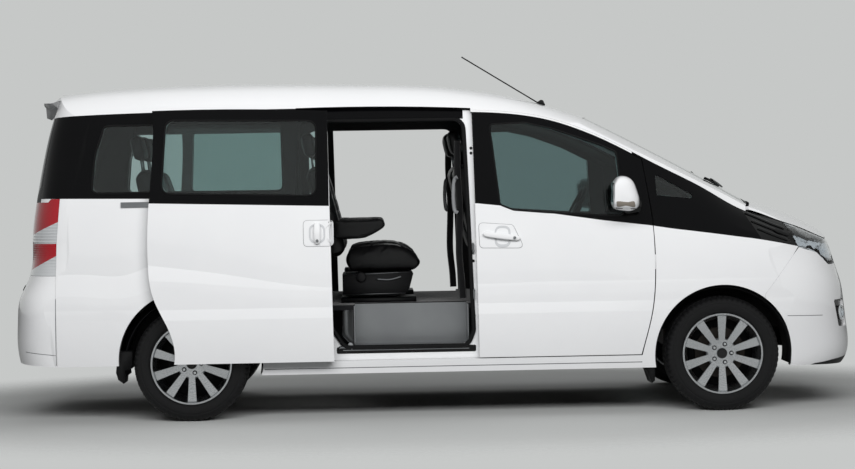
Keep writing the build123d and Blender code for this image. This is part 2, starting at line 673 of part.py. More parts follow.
def tailgate_window(grow):
    """Prism over the tailgate's window."""
    corners = [(-640, 1400), (-610, 1790), (610, 1790), (640, 1400)]
    return end_prism(corners, place(-2900), place(-2300), grow=grow, radius=45)


def make_bonnet():
    """Bonnet between the side lines, the windscreen and the lamps."""
    top = line_run(DRIP_LINE, DRIP_Z, 1744, 2560, GAP)
    runs = [top, [top[-1], (2560, 1500)], [(2560, 1500), (1700, 1500)], [(1700, 1500), top[0]]]
    bonnet = shell(0, FENDER_SKIN) & side_prism(runs, -1200, 1200)
    return bonnet & bonnet_plan(0)


def bonnet_plan(gap):
    """Prism over the bonnet in plan, its rear edge grown by gap."""
    steps = (-900, -600, -300, 0, 300, 600, 900)
    rear = [(BONNET_REAR_X - gap - SCREEN_SWEEP * y * y, y) for y in steps]
    front = [(BONNET_FRONT_X - NOSE_CROWN * y * y, y) for y in reversed(steps)]
    face = outline_face([rear, [rear[-1], front[0]], front, [front[-1], rear[0]]],
                        lambda x, y: Vector(place(x), y, 700))
    return Solid.extrude(face, Vector(0, 0, 800))


def bonnet_axis_x():
    """X of the bonnet's hinge line, in the shut line behind it."""
    return place(BONNET_REAR_X - SCREEN_SWEEP * HOOD_PIN_Y**2) - GAP / 2


def bonnet_axis_z():
    """Height of the bonnet's hinge line, just under the outer skin."""
    drop = lerp(SCREEN_LINE + BONNET_LINE[1:], BONNET_REAR_X)
    return ROOF_Z - drop - lerp(SCREEN_DROP, HOOD_PIN_Y) - HOOD_PIN_DEPTH


def bonnet_tongue(fit):
    """Right-hand leaf that carries the bonnet's hinge, grown by fit."""
    x = bonnet_axis_x()
    z = bonnet_axis_z()
    low_y = -HOOD_PIN_Y - 16 - fit
    high_y = -HOOD_PIN_Y + 16 + fit
    return block(x - 30 - fit, x + 20 + fit, low_y, high_y, z - 20 - fit, z + fit)


def make_fender():
    """Right front fender."""
    fender = shell(0, FENDER_SKIN) & side_prism(fender_runs(), -1200, -300)
    return fender - FRONT_ARCH


def lamp_band(grow):
    """Band of lamps and grille, seen from the side, between bumper and bonnet."""
    top = line_run(DRIP_LINE, DRIP_Z, LAMP_REAR_X - LAMP_LEAN, 2560, -SEAM)
    low = [(2560, 862), (2330, 862), (2286, 866), (2203, 943), JOINT_LAMP]
    return side_prism([top, [top[-1], low[0]], [low[0], low[2]], low[2:], [low[-1], top[0]]],
                      -1200, 1200, grow=grow)


def vent_band():
    """Gill vent behind the headlamp, seen from the side."""
    front = LAMP_REAR_X - SEAM
    top = line_run(DRIP_LINE, DRIP_Z, VENT_TOP_X, front - LAMP_LEAN, -SEAM)
    low = line_run(BELT_LINE, BELT_Z, front, VENT_LOW_X, SEAM)
    return side_prism([top, [top[-1], low[0]], low, [low[-1], top[0]]], -1200, -300)


def make_gill_vent():
    """Right gill vent between roof edge, fender and headlamp."""
    vent = shell(0, FENDER_SKIN) & vent_band()
    vent -= Pos(0, 0, -SEAM) * side_prism(upper_runs(), -1200, -300)
    return vent - bonnet_tongue(PIN_GAP)


def make_headlamp():
    """Right headlamp."""
    lamp = shell(0, 70) & lamp_band(0) & right_half(1900, 2600, 800, 1300)
    return lamp & block(0, FAR, -1200, -LAMP_INNER_Y, 0, 1500)


def make_grille():
    """Grille between the headlamps: a frame with horizontal bars."""
    opening = LAMP_INNER_Y - SEAM
    band = shell(0, 60) & lamp_band(0) & block(0, FAR, -opening, opening, 0, 1500)
    for z in (886, 914, 942, 970):
        band -= block(0, FAR, -opening + 24, opening - 24, z - 8, z + 8) & form(0)
    return band


def make_front_bumper():
    """Front bumper with its lower intake and fog lamp recesses."""
    corners = [(JOINT_HIGH[0] + SEAM, JOINT_HIGH[1]), (LAMP_REAR_X + 3, 976), (2203, 941), (2286, 866 - SEAM),
               (2560, 862 - SEAM), (2560, 248),
               (JOINT_LOW[0] + SEAM, SILL_Z), (JOINT_LOW[0] + SEAM, JOINT_LOW[1])]
    bumper = shell(0, SKIN) & side_prism(polygon_runs(corners), -1200, 1200)
    for arch in both_sides(FRONT_ARCH):
        bumper -= arch
    intake = [(-470, 360), (-520, 500), (520, 500), (470, 360)]
    bumper -= end_prism(intake, place(2200), place(2700), radius=20)
    for lamp in both_sides(fog_tool(0)):
        bumper -= lamp
    return bumper


def fog_tool(shrink):
    """Recess of the right fog lamp, cut along the van."""
    corners = [(-FOG_Y - 85, FOG_Z + 84), (-FOG_Y + 62, FOG_Z + 84),
               (-FOG_Y + 72, FOG_Z - 82), (-FOG_Y - 60, FOG_Z - 82)]
    return end_prism(corners, place(2100), place(2700), grow=-shrink, radius=12)


def make_fog_lamp():
    """Right fog lamp in its bezel."""
    bezel = layer(end_form, 16, SKIN - 16, fog_tool(0.4))
    barrel = Pos(place(2290), -FOG_Y, FOG_Z) * Rot(0, 90, 0) * Cylinder(FOG_RADIUS, 300)
    return bezel + layer(end_form, 5, SKIN - 5, barrel)


def make_rear_bumper():
    """Rear bumper, wrapping both corners."""
    front_x = BUMPER_REAR_X - SEAM
    top_z = LAMP_BOTTOM_Z - SEAM
    corners = [(-2900, top_z), (front_x, top_z), (front_x, BUMPER_LOW_Z), (-2900, BUMPER_LOW_Z + 30)]
    bumper = shell(0, SKIN) & side_prism(polygon_runs(corners), -1200, 1200)
    return bumper - end_prism(tailgate_points(), place(-2900), place(-2300))


def make_front_door():
    """Right front door with its window cut."""
    door = shell(0, SKIN) & side_prism(front_door_runs(GAP), -1200, -300)
    return door - side_prism(polygon_runs(FRONT_GLASS), -1200, -300, radius=10)


def make_sliding_door():
    """Right sliding door in its closed place."""
    door = shell(0, SKIN) & side_prism(sliding_door_runs(GAP), -1200, -300)
    return door - side_prism(polygon_runs(SLIDE_GLASS), -1200, -300, radius=GLASS_RADIUS + 16)


def open_slide(piece):
    """Move a right-hand piece of the sliding door to where the door stands open."""
    return Pos(-SLIDE_TRAVEL, -SLIDE_OUT, 0) * piece


def side_pane(points, radius):
    """Right-hand pane in a window outline."""
    tool = side_prism(polygon_runs(points), -1200, -300, grow=-GLASS_FIT, radius=radius)
    return layer(side_form, GLASS_INSET, GLASS, tool)


def make_body():
    """Write the body's panels, panes and lamps."""
    frame = make_side_frame()
    frame = frame + (hinge_strip(864, 952) & side_form(1))
    write("side_frame_right", frame)
    write("side_frame_left", across(frame))
    write("roof", make_roof())
    write("cowl", make_cowl())
    write("bonnet", make_bonnet())
    write("front_fenders", both_sides(make_fender()))
    write("front_bumper", make_front_bumper())
    write("rear_bumper", make_rear_bumper())
    write("grille", make_grille())
    write("headlamps", both_sides(make_headlamp()))
    write("gill_vents", both_sides(make_gill_vent()))
    write("fog_lamps", both_sides(make_fog_lamp()))
    lamp = shell(0, SKIN) & tail_lamp_tool(-SEAM) & block(place(-2900), place(-2300), -1200, 0, 0, 1500)
    write("tail_lamps", both_sides(lamp))
    write("tailgate", make_tailgate())
    write("tailgate_glass", layer(end_form, GLASS_INSET, GLASS, tailgate_window(-GLASS_FIT)))
    screen = end_prism(screen_points(), place(500), place(2300), grow=-GLASS_FIT)
    write("windscreen", layer(top_form, 2, GLASS + 1, screen))
    door = make_front_door()
    write("front_door_right", door)
    write("front_door_left", across(door))
    pane = side_pane(FRONT_GLASS, 10)
    write("door_glass_right", pane)
    write("door_glass_left", across(pane))
    write("sliding_doors", both_sides(open_slide(make_sliding_door())))
    write("sliding_door_glass", both_sides(open_slide(side_pane(SLIDE_GLASS, GLASS_RADIUS + 16))))
    quarter = side_pane(QUARTER_GLASS, GLASS_RADIUS)
    corner = side_pane(CORNER_GLASS, 12)
    write("fixed_side_glass", both_sides(quarter), both_sides(corner))


# ---------------------------------------------------------------- underbody


def wheelhouse(axle_x, rise, radius, inner_y, cut_z):
    """Right wheelhouse: a half drum with an inner wall, open below and to the outside."""
    outer_y = HALF_WIDTH - SKIN - 12
    centre = Pos(axle_x, 0, AXLE_Z + rise)
    drum = centre * Pos(0, -(outer_y + inner_y) / 2, 0) * Rot(90, 0, 0) * Cylinder(radius + 4 + TUB_WALL,
                                                                              outer_y - inner_y)
    hollow = centre * Pos(0, -(outer_y + inner_y + TUB_WALL + 1) / 2, 0) * Rot(90, 0, 0) * Cylinder(
        radius + 4, outer_y - inner_y - TUB_WALL + 1)
    return (drum - hollow) & block(-FAR, FAR, -1200, 0, cut_z, 1500)


def make_step(x0, x1):
    """Right step well in the sliding door's doorway: plate, riser and both ends."""
    plate = block(x0, x1, -1000, -STEP_INNER_Y, STEP_Z, STEP_Z + 10)
    riser = block(x0, x1, -STEP_INNER_Y - 10, -STEP_INNER_Y, STEP_Z, FLOOR_Z)
    rear = block(x0 - 10, x0, -1000, -STEP_INNER_Y, STEP_Z, FLOOR_Z)
    front = block(x1, x1 + 10, -1000, -STEP_INNER_Y, STEP_Z, FLOOR_Z)
    return plate + riser + rear + front


def make_underbody():
    """Floor with rails, bulkhead and wheelhouses in one welded piece."""
    inner = form(INNER)
    floor_low = FLOOR_Z - FLOOR_THICKNESS
    body = block(place(FLOOR_REAR), place(FLOOR_FRONT), -1000, 1000, floor_low, FLOOR_Z)
    body += block(place(FLOOR_FRONT), place(FLOOR_FRONT) + 24, -1000, 1000, floor_low, BELT_Z - 110)
    x0 = place(STEP_REAR_X)
    x1 = place(STEP_FRONT_X)
    for piece in both_sides(block(x0, x1, -1000, -STEP_INNER_Y, floor_low - 1, FLOOR_Z + 1)):
        body -= piece
    for piece in both_sides(make_step(x0, x1)):
        body += piece
    body &= inner
    for piece in both_sides(REAR_ARCH):
        body -= piece
    half_rail = RAIL_WIDTH / 2
    for y in (-RAIL_Y, RAIL_Y):
        low_y = y - half_rail
        high_y = y + half_rail
        body += block(place(FLOOR_REAR + 40), place(2340), low_y, high_y, RAIL_LOW_Z, RAIL_LOW_Z + 90)
        body += block(place(FLOOR_REAR + 40), place(FLOOR_FRONT), low_y, high_y, RAIL_LOW_Z, floor_low + 2)
    for x in (-2420, -900, 150, 1060):
        body += block(place(x), place(x) + 90, -RAIL_Y - 200, RAIL_Y + 200, floor_low - 70, floor_low + 2)
    front_x = place(2340)
    body += block(front_x, front_x + 40, -500, 500, RAIL_LOW_Z - 10, RAIL_LOW_Z + 100)
    rear_x = place(FLOOR_REAR + 40)
    body += block(rear_x - 30, rear_x, -620, 620, RAIL_LOW_Z - 10, floor_low + 2)
    body -= Pos(rear_x - 15, SILENCER_Y, RAIL_LOW_Z + 20) * Rot(0, 90, 0) * Cylinder(PIPE_RADIUS + GAP, 80)
    house_low = AXLE_Z + BEAM_RADIUS + GAP
    house = wheelhouse(REAR_AXLE_X, REAR_ARCH_RISE, REAR_ARCH_RADIUS, HOUSE_INNER_Y, house_low)
    for piece in both_sides(house & inner):
        body += piece
    front = wheelhouse(FRONT_AXLE_X + FRONT_ARCH_X, 0, FRONT_ARCH_RADIUS, FRONT_HOUSE_Y, AXLE_Z + 190)
    front &= block(place(FRONT_DOOR_X + 30) + SEAM, FAR, -1200, 0, 0, 1500) & form(SKIN + SEAM)
    strut_y = -FRONT_HOUSE_Y - TUB_WALL
    front += block(FRONT_AXLE_X - 200, FRONT_AXLE_X + 200, strut_y, -RAIL_Y, RAIL_LOW_Z + 70, RAIL_LOW_Z + 90)
    for piece in both_sides(front):
        body += piece
    for x in (place(HITCH_X) - HITCH_PITCH / 2, place(HITCH_X) + HITCH_PITCH / 2):
        for y in (-RAIL_Y, RAIL_Y):
            body -= Pos(x, y, RAIL_LOW_Z + 20) * Cylinder(HITCH_BOLT_RADIUS, 60)
    return body


# ---------------------------------------------------------------- running gear
TRACK_NAMES = {"front_left": (FRONT_AXLE_X, 1), "front_right": (FRONT_AXLE_X, -1),
               "rear_left": (REAR_AXLE_X, 1), "rear_right": (REAR_AXLE_X, -1)}


def turned(points):
    """Ring turned about the Y axis from (radius, y) corners."""
    face = Face(Wire.make_polygon([Vector(r, y, 0) for r, y in points], close=True))
    return Solid.revolve(face, 360, Axis((0, 0, 0), (0, 1, 0)))


def make_rim():
    """Wheel rim with ten spokes, its outer side at -Y, about the origin."""
    half = RIM_WIDTH / 2
    lip = RIM_RADIUS
    well = RIM_RADIUS - 26
    barrel = well - RIM_WALL
    ring = turned([(lip - RIM_WALL, -half), (lip, -half), (lip, -half + 12), (well + 6, -half + 24),
                   (well, -half + 60), (well, half - 24), (lip, half - 12), (lip, half),
                   (lip - RIM_WALL, half), (barrel, half - 22), (barrel, -half + 56),
                   (lip - RIM_WALL - 8, -half + 20)])
    hub = turned([(HUB_BORE, -half + 34), (84, -half + 34), (92, -half + 44), (92, -half + 84),
                  (HUB_BORE, -half + 84)])
    cap = turned([(0.0, -half + 28), (30, -half + 28), (34, -half + 36), (34, -half + 40), (0.0, -half + 40)])
    spoke_points = [(60, -17), (232, -27), (232, 27), (60, 17)]
    face = Face(Wire.make_polygon([Vector(a, -half + 16, b) for a, b in spoke_points], close=True))
    bar = Solid.extrude(face, Vector(0, 34, 0))
    wedge = turned([(40, -half + 36), (238, -half + 16), (238, -half + 46), (40, -half + 76)])
    wheel = ring + hub + cap
    for i in range(SPOKES):
        wheel += Rot(0, 18 + i * 360 / SPOKES, 0) * (bar & wedge)
    return wheel


def make_tyre():
    """Tyre about the origin, with a rounded shoulder."""
    half = TYRE_WIDTH / 2
    r = TYRE_RADIUS
    seat = RIM_RADIUS + 0.3
    points = [(seat, -half + 24), (seat + 20, -half + 4), (r - 58, -half), (r - 22, -half + 10),
              (r - 4, -half + 34), (r, -half + 60), (r, half - 60), (r - 4, half - 34), (r - 22, half - 10),
              (r - 58, half), (seat + 20, half - 4), (seat, half - 24)]
    return turned(points)


def make_knuckle():
    """Right steering knuckle: an upright with its stub axle and two eyes on the steering axis."""
    x = FRONT_AXLE_X
    upright = block(x - 45, x + 45, -KING_Y - 28, -KING_Y + 28, ARM_Z + 22, AXLE_Z + 150)
    for z in (ARM_Z + 20, AXLE_Z + 110):
        upright -= Pos(FRONT_AXLE_X, -KING_Y, z + 20) * Cylinder(KING_RADIUS + PIN_FIT, 60)
    stub = stub_axle(FRONT_AXLE_X, KING_Y + 20)
    disc = Pos(FRONT_AXLE_X, -(WHEEL_Y + RIM_WIDTH / 2 - 122), AXLE_Z) * Rot(90, 0, 0) * Cylinder(152, 22)
    return upright + stub + disc


def stub_axle(x, inner_y):
    """Stub that a right wheel turns on, from its carrier out into the hub."""
    outer_y = WHEEL_Y + RIM_WIDTH / 2 - 40.5
    length = outer_y - inner_y
    return Pos(x, -(inner_y + outer_y) / 2, AXLE_Z) * Rot(90, 0, 0) * Cylinder(HUB_BORE - STUB_FIT, length)


def make_front_subframe():
    """Subframe with its posts, lower and upper arms, ball pins and springs."""
    pieces = block(FRONT_AXLE_X - 190, FRONT_AXLE_X + 170, -RAIL_Y - 40, RAIL_Y + 40, ARM_Z + 60, ARM_Z + 110)
    x = FRONT_AXLE_X
    rail_low = RAIL_LOW_Z - SEAT_GAP
    for y in (-RAIL_Y, RAIL_Y):
        pieces += block(x - 150, x - 90, y - 40, y + 40, ARM_Z + 60, rail_low)
        pieces += block(x + 90, x + 150, y - 40, y + 40, ARM_Z + 60, rail_low)
        pieces += Pos(x, y, (ARM_Z + rail_low) / 2) * Cylinder(36, rail_low - ARM_Z)
    arm = block(x - 34, x + 34, -KING_Y, -250, ARM_Z - 16, ARM_Z + 16)
    arm += Pos(x, -KING_Y, ARM_Z) * Cylinder(ARM_END_RADIUS, 32)
    arm += block(x - 34, x + 34, -330, -250, ARM_Z - 16, ARM_Z + 70)
    arm += Pos(x, -KING_Y, ARM_Z + 30) * Cylinder(KING_RADIUS, 60)
    low = AXLE_Z + 152
    arm += block(x - 22, x + 22, -KING_Y - 22, -RAIL_Y - RAIL_WIDTH / 2 - SEAT_GAP, low, low + 24)
    arm += Pos(x, -KING_Y, low - 18) * Cylinder(KING_RADIUS, 40)
    for piece in both_sides(arm):
        pieces += piece
    return pieces


def make_rear_axle():
    """Rear beam axle with trailing arms, springs and stub axles."""
    beam_y = WHEEL_Y - 150
    beam = Pos(REAR_AXLE_X, 0, AXLE_Z) * Rot(90, 0, 0) * Cylinder(BEAM_RADIUS, 2 * beam_y)
    for side in (-1, 1):
        y = side * TRAILING_ARM_Y
        arm = block(REAR_AXLE_X, REAR_AXLE_X + 560, y - 25, y + 25, AXLE_Z - 25, AXLE_Z + 25)
        arm += block(REAR_AXLE_X + 500, REAR_AXLE_X + 560, y - 50, y + 25, AXLE_Z, RAIL_LOW_Z - SEAT_GAP)
        spring = Pos(REAR_AXLE_X, side * RAIL_Y, (AXLE_Z + RAIL_LOW_Z) / 2) * Cylinder(
            40, RAIL_LOW_Z - AXLE_Z - 2 * SEAT_GAP)
        beam += arm
        beam += spring
    beam += stub_axle(REAR_AXLE_X, beam_y - 5)
    beam += across(stub_axle(REAR_AXLE_X, beam_y - 5))
    drum = Pos(REAR_AXLE_X, -(WHEEL_Y + RIM_WIDTH / 2 - 122), AXLE_Z) * Rot(90, 0, 0) * Cylinder(146, 22)
    for piece in both_sides(drum):
        beam += piece
    return beam


def make_exhaust():
    """Exhaust pipe with its silencer and hangers."""
    z = RAIL_LOW_Z + 20
    pipe = Pos(place(-600), EXHAUST_Y, z) * Rot(0, 90, 0) * Cylinder(PIPE_RADIUS, 3300)
    silencer = Pos(place(-2110), SILENCER_Y, z) * Rot(0, 90, 0) * Cylinder(95, 380)
    tail = Pos(place(-2400), SILENCER_Y, z) * Rot(0, 90, 0) * Cylinder(PIPE_RADIUS, 360)
    hanger_top = FLOOR_Z - FLOOR_THICKNESS - SEAT_GAP
    hanger = block(place(-2160), place(-2100), SILENCER_Y - 10, SILENCER_Y + 10, z + 20, hanger_top)
    front = block(place(300), place(340), EXHAUST_Y - 10, EXHAUST_Y + 10, z + 20, hanger_top)
    return pipe + silencer + tail + hanger + front


def make_running_gear():
    """Write the floor, wheels, tyres, knuckles, axles and what hangs under the floor."""
    write("underbody", make_underbody())
    rim = make_rim()
    tyre = make_tyre()
    for name, (x, side) in TRACK_NAMES.items():
        spot = Pos(x, -WHEEL_Y, AXLE_Z)
        for node, piece in (("wheel", rim), ("tyre", tyre)):
            placed = spot * piece
            write(f"{node}_{name}", placed if side < 0 else across(placed))
    knuckle = make_knuckle()
    write("steering_knuckle_right", knuckle)
    write("steering_knuckle_left", across(knuckle))
    write("front_subframe", make_front_subframe())
    write("rear_axle", make_rear_axle())
    write("exhaust_system", make_exhaust())
    tank = block(place(-780), place(100), -RAIL_Y + 60, EXHAUST_Y - 60, RAIL_LOW_Z - 60,
                 FLOOR_Z - FLOOR_THICKNESS - SEAT_GAP)
    write("fuel_tank", tank)
    engine_z = ARM_Z + 110 + SEAT_GAP
    write("engine_block", block(place(1330), place(2010), -300, 330, engine_z, engine_z + 620))
    write("mudflaps", both_sides(make_mudflaps()))


def make_mudflaps():
    """Right mudflaps behind both wheels, hung under the panels' lower edges."""
    rear_x = -STATION_BASE - REAR_ARCH_RADIUS
    front_x = STATION_BASE + FRONT_ARCH_X - FRONT_ARCH_RADIUS
    top = BUMPER_LOW_Z - SEAT_GAP
    rear = [(rear_x - 18, top), (rear_x, top), (rear_x + 70, 228), (rear_x + 54, 228)]
    top = SILL_Z - SEAT_GAP
    front = [(front_x - 58, top), (front_x - 40, top), (front_x + 4, 176), (front_x - 12, 176)]
    return Compound(children=[side_prism(polygon_runs(rear), -905, -700),
                              side_prism(polygon_runs(front), -905, -730)])


# ---------------------------------------------------------------- cabin


def column_place():
    """Placement of the steering column: its own +Z points along the shaft at the driver."""
    x, y, z = WHEEL_HUB
    return Pos(place(x), y, z) * Rot(0, -90 + COLUMN_TILT, 0)


def make_steering_wheel():
    """Steering wheel with a hub, three spokes and a stub of shaft."""
    rim = Torus(STEER_RADIUS - 15, 15)
    hub = Pos(0, 0, -12) * Cylinder(62, 44)
    wheel = rim + hub
    for angle in (0, 120, 240):
        wheel += Rot(0, 0, angle) * Pos(STEER_RADIUS / 2, 0, -8) * Box(STEER_RADIUS - 22, 34, 14)
    wheel += Pos(0, 0, -85) * Cylinder(14, 110)
    return column_place() * wheel


def make_dashboard():
    """Dashboard between the pillars, with the steering column's sleeve and the centre console."""
    runs = [[(1170, 700), (1170, 1150)], [(1170, 1150), (1120, 1190)], [(1120, 1190), (900, 1165)],
            [(900, 1165), (860, 1080)], [(860, 1080), (960, 920)], [(960, 920), (1040, 700)],
            [(1040, 700), (1170, 700)]]
    board = side_prism(runs, -900, 900) & form(INNER)
    console = block(place(840), place(1100), -110, 110, 720, 1060)
    sleeve = column_place() * Pos(0, 0, -150) * (Cylinder(34, 150) - Cylinder(14.3, 160))
    bore = column_place() * Pos(0, 0, -120) * Cylinder(14.3, 110)
    return board + console + sleeve - bore


def rounded(width, depth, height, radius):
    """Rounded cushion block, its base centred on the origin."""
    box = Pos(0, 0, height / 2) * Box(depth, width, height)
    return fillet(box.edges(), radius)


def make_seat(x, y, width, armrests):
    """One seat as separate cushions on a plinth; x is the station of its hip point."""
    px = place(x)
    plinth_height = CUSHION_Z - CUSHION_HEIGHT - FLOOR_Z
    plinth = Pos(px + 60, y, FLOOR_Z + plinth_height / 2 + 0.2) * Box(400, width - 130, plinth_height)
    cushion = Pos(px + 60, y, CUSHION_Z - CUSHION_HEIGHT + 0.5) * rounded(width, 520, CUSHION_HEIGHT, 40)
    back = Pos(px - 215, y, CUSHION_Z - 60) * Rot(0, -14, 0) * rounded(width - 20, 120, 620, 45)
    head = Pos(px - 372, y, CUSHION_Z + 572) * Rot(0, -12, 0) * rounded(250, 90, 170, 38)
    lean = Pos(px - 215, y, CUSHION_Z - 60) * Rot(0, -14, 0)
    pieces = [plinth, cushion - lean * Pos(0, 0, 300) * Box(121.2, width + 40, 640), back]
    pieces.append(head - lean * Pos(0, 0, 310) * Box(200, 400, 621))
    if armrests:
        for side in (-1, 1):
            arm_y = y + side * (width / 2 + 34)
            pieces.append(Pos(px - 20, arm_y, CUSHION_Z + 110) * rounded(62, 330, 70, 26))
    return pieces


def make_cabin():
    """Write dashboard, steering wheel and seats."""
    write("steering_wheel", make_steering_wheel())
    write("dashboard", make_dashboard())
    write("front_seats", make_seat(410, 400, 520, False), make_seat(410, -400, 520, False))
    write("captain_seats", make_seat(-500, 430, 480, True), make_seat(-500, -430, 480, True))
    write("rear_bench", make_seat(-1560, 0, 1140, False))


# ---------------------------------------------------------------- outside fittings
def make_mirror():
    """Right door mirror: a rounded housing on a short arm."""
    housing = Pos(place(1010), -1052, 1205) * rounded(190, 120, 216, 45)
    arm = block(place(1010), place(1090), -985, -905, 1195, 1235)
    return housing + arm


def make_fittings():
    """Write mirrors, antenna and the runners of the sliding doors."""
    runners = []
    mirror_piece = make_mirror() - form(-0.4)
    write("door_mirror_right", mirror_piece)
    write("door_mirror_left", across(mirror_piece))
    foot = Vector(place(555), -550, 1880)
    tip = Vector(place(69), -550, 2181)
    direction = (tip - foot).normalized()
    mast = Plane(origin=foot, z_dir=direction) * Pos(0, 0, (tip - foot).length / 2) * Cylinder(
        4, (tip - foot).length)
    write("antenna", mast - form(-0.4))
    for piece in make_runners():
        runners += both_sides(piece)
    write("sliding_door_runners", runners)


def make_runners():
    """Right sliding door's lower and upper arms, its centre rail and the arm riding on it."""
    front = place(CENTRE_X) - SLIDE_TRAVEL - GAP
    carried = open_slide(side_form(SKIN + SEAT_GAP))
    rebate = side_form(SKIN + GAP - SEAT_GAP)
    lower = (block(front - 82, front - 22, -1100, -700, 370, 410) & carried) - rebate
    upper = (block(front - 120, front - 60, -1100, -700, 1796, 1826) & carried) - rebate
    proud = side_form(-RAIL_PROUD)
    rail = (block(place(-2000), place(-1010), -1100, -700, 1290, 1322) & proud) - side_form(-SEAT_GAP)
    reach = block(place(-1750), place(-1700), -1100, -700, 1296, 1316) & carried
    return [lower, upper, rail, reach - side_form(-RAIL_PROUD - SEAT_GAP)]


if __name__ == "__main__":
    os.makedirs("parts", exist_ok=True)
    make_body()
    make_running_gear()
    make_cabin()
    make_fittings()
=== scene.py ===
"""Dressed scene of a full-size passenger van with sliding side doors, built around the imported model.

Every length is in metres in the row frame: +X forward, +Y to the van's left, +Z up, ground at Z = 0.
"""
from __future__ import annotations

import json
import logging
import math
from dataclasses import dataclass, field
from enum import Enum

import bmesh
import bpy
from mathutils import Matrix, Vector
from mathutils.bvhtree import BVHTree

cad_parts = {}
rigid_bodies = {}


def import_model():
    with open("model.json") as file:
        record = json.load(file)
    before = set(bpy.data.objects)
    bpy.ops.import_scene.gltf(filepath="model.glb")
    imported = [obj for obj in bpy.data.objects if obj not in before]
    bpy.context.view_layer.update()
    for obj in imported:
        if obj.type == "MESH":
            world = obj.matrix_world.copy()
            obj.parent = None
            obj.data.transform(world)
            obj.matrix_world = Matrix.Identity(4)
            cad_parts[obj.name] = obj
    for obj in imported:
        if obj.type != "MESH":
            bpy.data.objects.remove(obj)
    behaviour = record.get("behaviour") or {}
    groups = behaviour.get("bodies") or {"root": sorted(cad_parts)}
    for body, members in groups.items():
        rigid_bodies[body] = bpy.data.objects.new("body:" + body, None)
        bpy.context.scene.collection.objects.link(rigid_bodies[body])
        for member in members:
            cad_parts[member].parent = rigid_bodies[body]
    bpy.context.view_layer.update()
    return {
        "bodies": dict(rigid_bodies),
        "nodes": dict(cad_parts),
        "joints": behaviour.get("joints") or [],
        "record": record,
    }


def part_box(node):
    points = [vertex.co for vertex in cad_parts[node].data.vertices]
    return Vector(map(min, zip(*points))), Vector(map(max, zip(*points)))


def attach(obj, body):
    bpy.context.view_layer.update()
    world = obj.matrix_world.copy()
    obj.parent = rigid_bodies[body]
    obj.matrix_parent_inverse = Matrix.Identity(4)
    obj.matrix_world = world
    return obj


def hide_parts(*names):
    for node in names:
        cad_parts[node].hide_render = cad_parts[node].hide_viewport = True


logging.basicConfig(level=logging.INFO, format="%(message)s")
LOG = logging.getLogger("van")

MM = 0.001
STATION = 0.1105                # row X of the middle of the wheelbase
SLIDE_TRAVEL = 0.860            # how far the sliding doors stand open

Point2 = tuple[float, float]
Socket = bpy.types.NodeSocket
Tree = bpy.types.NodeTree
Object = bpy.types.Object
BMesh = bmesh.types.BMesh

# Feature lines of the body in millimetres: (station, height).
BELT_LINE: list[Point2] = [(-2750, 1352), (-2366, 1349), (-1838, 1340), (129, 1278), (278, 1261), (539, 1216),
                           (887, 1163), (1167, 1128), (1357, 1098), (1523, 1076), (1688, 1052), (1813, 1034),
                           (1937, 1012), (2044, 990), (2300, 933), (2560, 878)]
# Half-width of the side wall's inner flange by height, in millimetres: (height, half-width).
FLANGE_LINE: list[Point2] = [(200, 830), (300, 867), (615, 903), (678, 894), (852, 894), (944, 886),
                             (1278, 875), (1560, 846), (1859, 778), (2000, 700)]
FRONT_GLASS: list[Point2] = [(219, 1752), (429, 1756), (586, 1719), (726, 1672), (900, 1608), (979, 1572),
                             (1008, 1191), (893, 1197), (542, 1221), (350, 1239), (272, 1269)]
SLIDE_GLASS: list[Point2] = [(-1721, 1802), (-829, 1786), (-833, 1345), (-1748, 1372)]
QUARTER_GLASS: list[Point2] = [(-2100, 1778), (-1040, 1778), (-1030, 1377), (-2175, 1382), (-2150, 1600)]
DOORWAY: list[Point2] = [(-935, 1781), (51, 1781), (88, 514), (65, 436), (-675, 436), (-853, 725),
                         (-925, 960)]


def lerp(table: list[Point2], x: float) -> float:
    """Read a table with straight lines between its points.

    Args:
        table: rising (position, value) pairs.
        x: where to read it.

    Returns:
        The value there, held at either end.
    """
    if x <= table[0][0]:
        return table[0][1]
    for (x0, v0), (x1, v1) in zip(table, table[1:]):
        if x <= x1:
            return v0 + (v1 - v0) * (x - x0) / (x1 - x0)
    return table[-1][1]


def linear(code: str) -> tuple[float, float, float, float]:
    """Turn an sRGB hex code into a linear colour.

    Args:
        code: six hex digits.

    Returns:
        Linear red, green, blue and alpha 1.
    """
    parts = [int(code[i:i + 2], 16) / 255 for i in (0, 2, 4)]
    low, slope, power = 0.04045, 12.92, 2.4
    turned = [c / slope if c <= low else ((c + 0.055) / 1.055) ** power for c in parts]
    return (turned[0], turned[1], turned[2], 1.0)


# ------------------------------------------------------------------ node helpers
def add_node(tree: Tree, kind: str, links: dict | tuple = (), out: int | str | None = 0,
             **settings: object) -> Socket | bpy.types.Node | None:
    """Add a shader node with its settings and inputs.

    Args:
        tree: the node tree.
        kind: the node's type name, without ShaderNode.
        links: sockets or values by input name or index, or a tuple of them from the first input on.
        out: the output that is wanted, or None for the node itself.
        settings: attributes of the node.

    Returns:
        The wanted output's socket, None for a node that has no outputs, or the node.
    """
    node = tree.nodes.new("ShaderNode" + kind)
    for key, value in settings.items():
        setattr(node, key, value)
    for key, value in (links.items() if isinstance(links, dict) else enumerate(links)):
        socket = node.inputs[key]
        if isinstance(value, bpy.types.NodeSocket):
            tree.links.new(value, socket)
        else:
            socket.default_value = value
    if out is None:
        return node
    return node.outputs[out] if len(node.outputs) else None


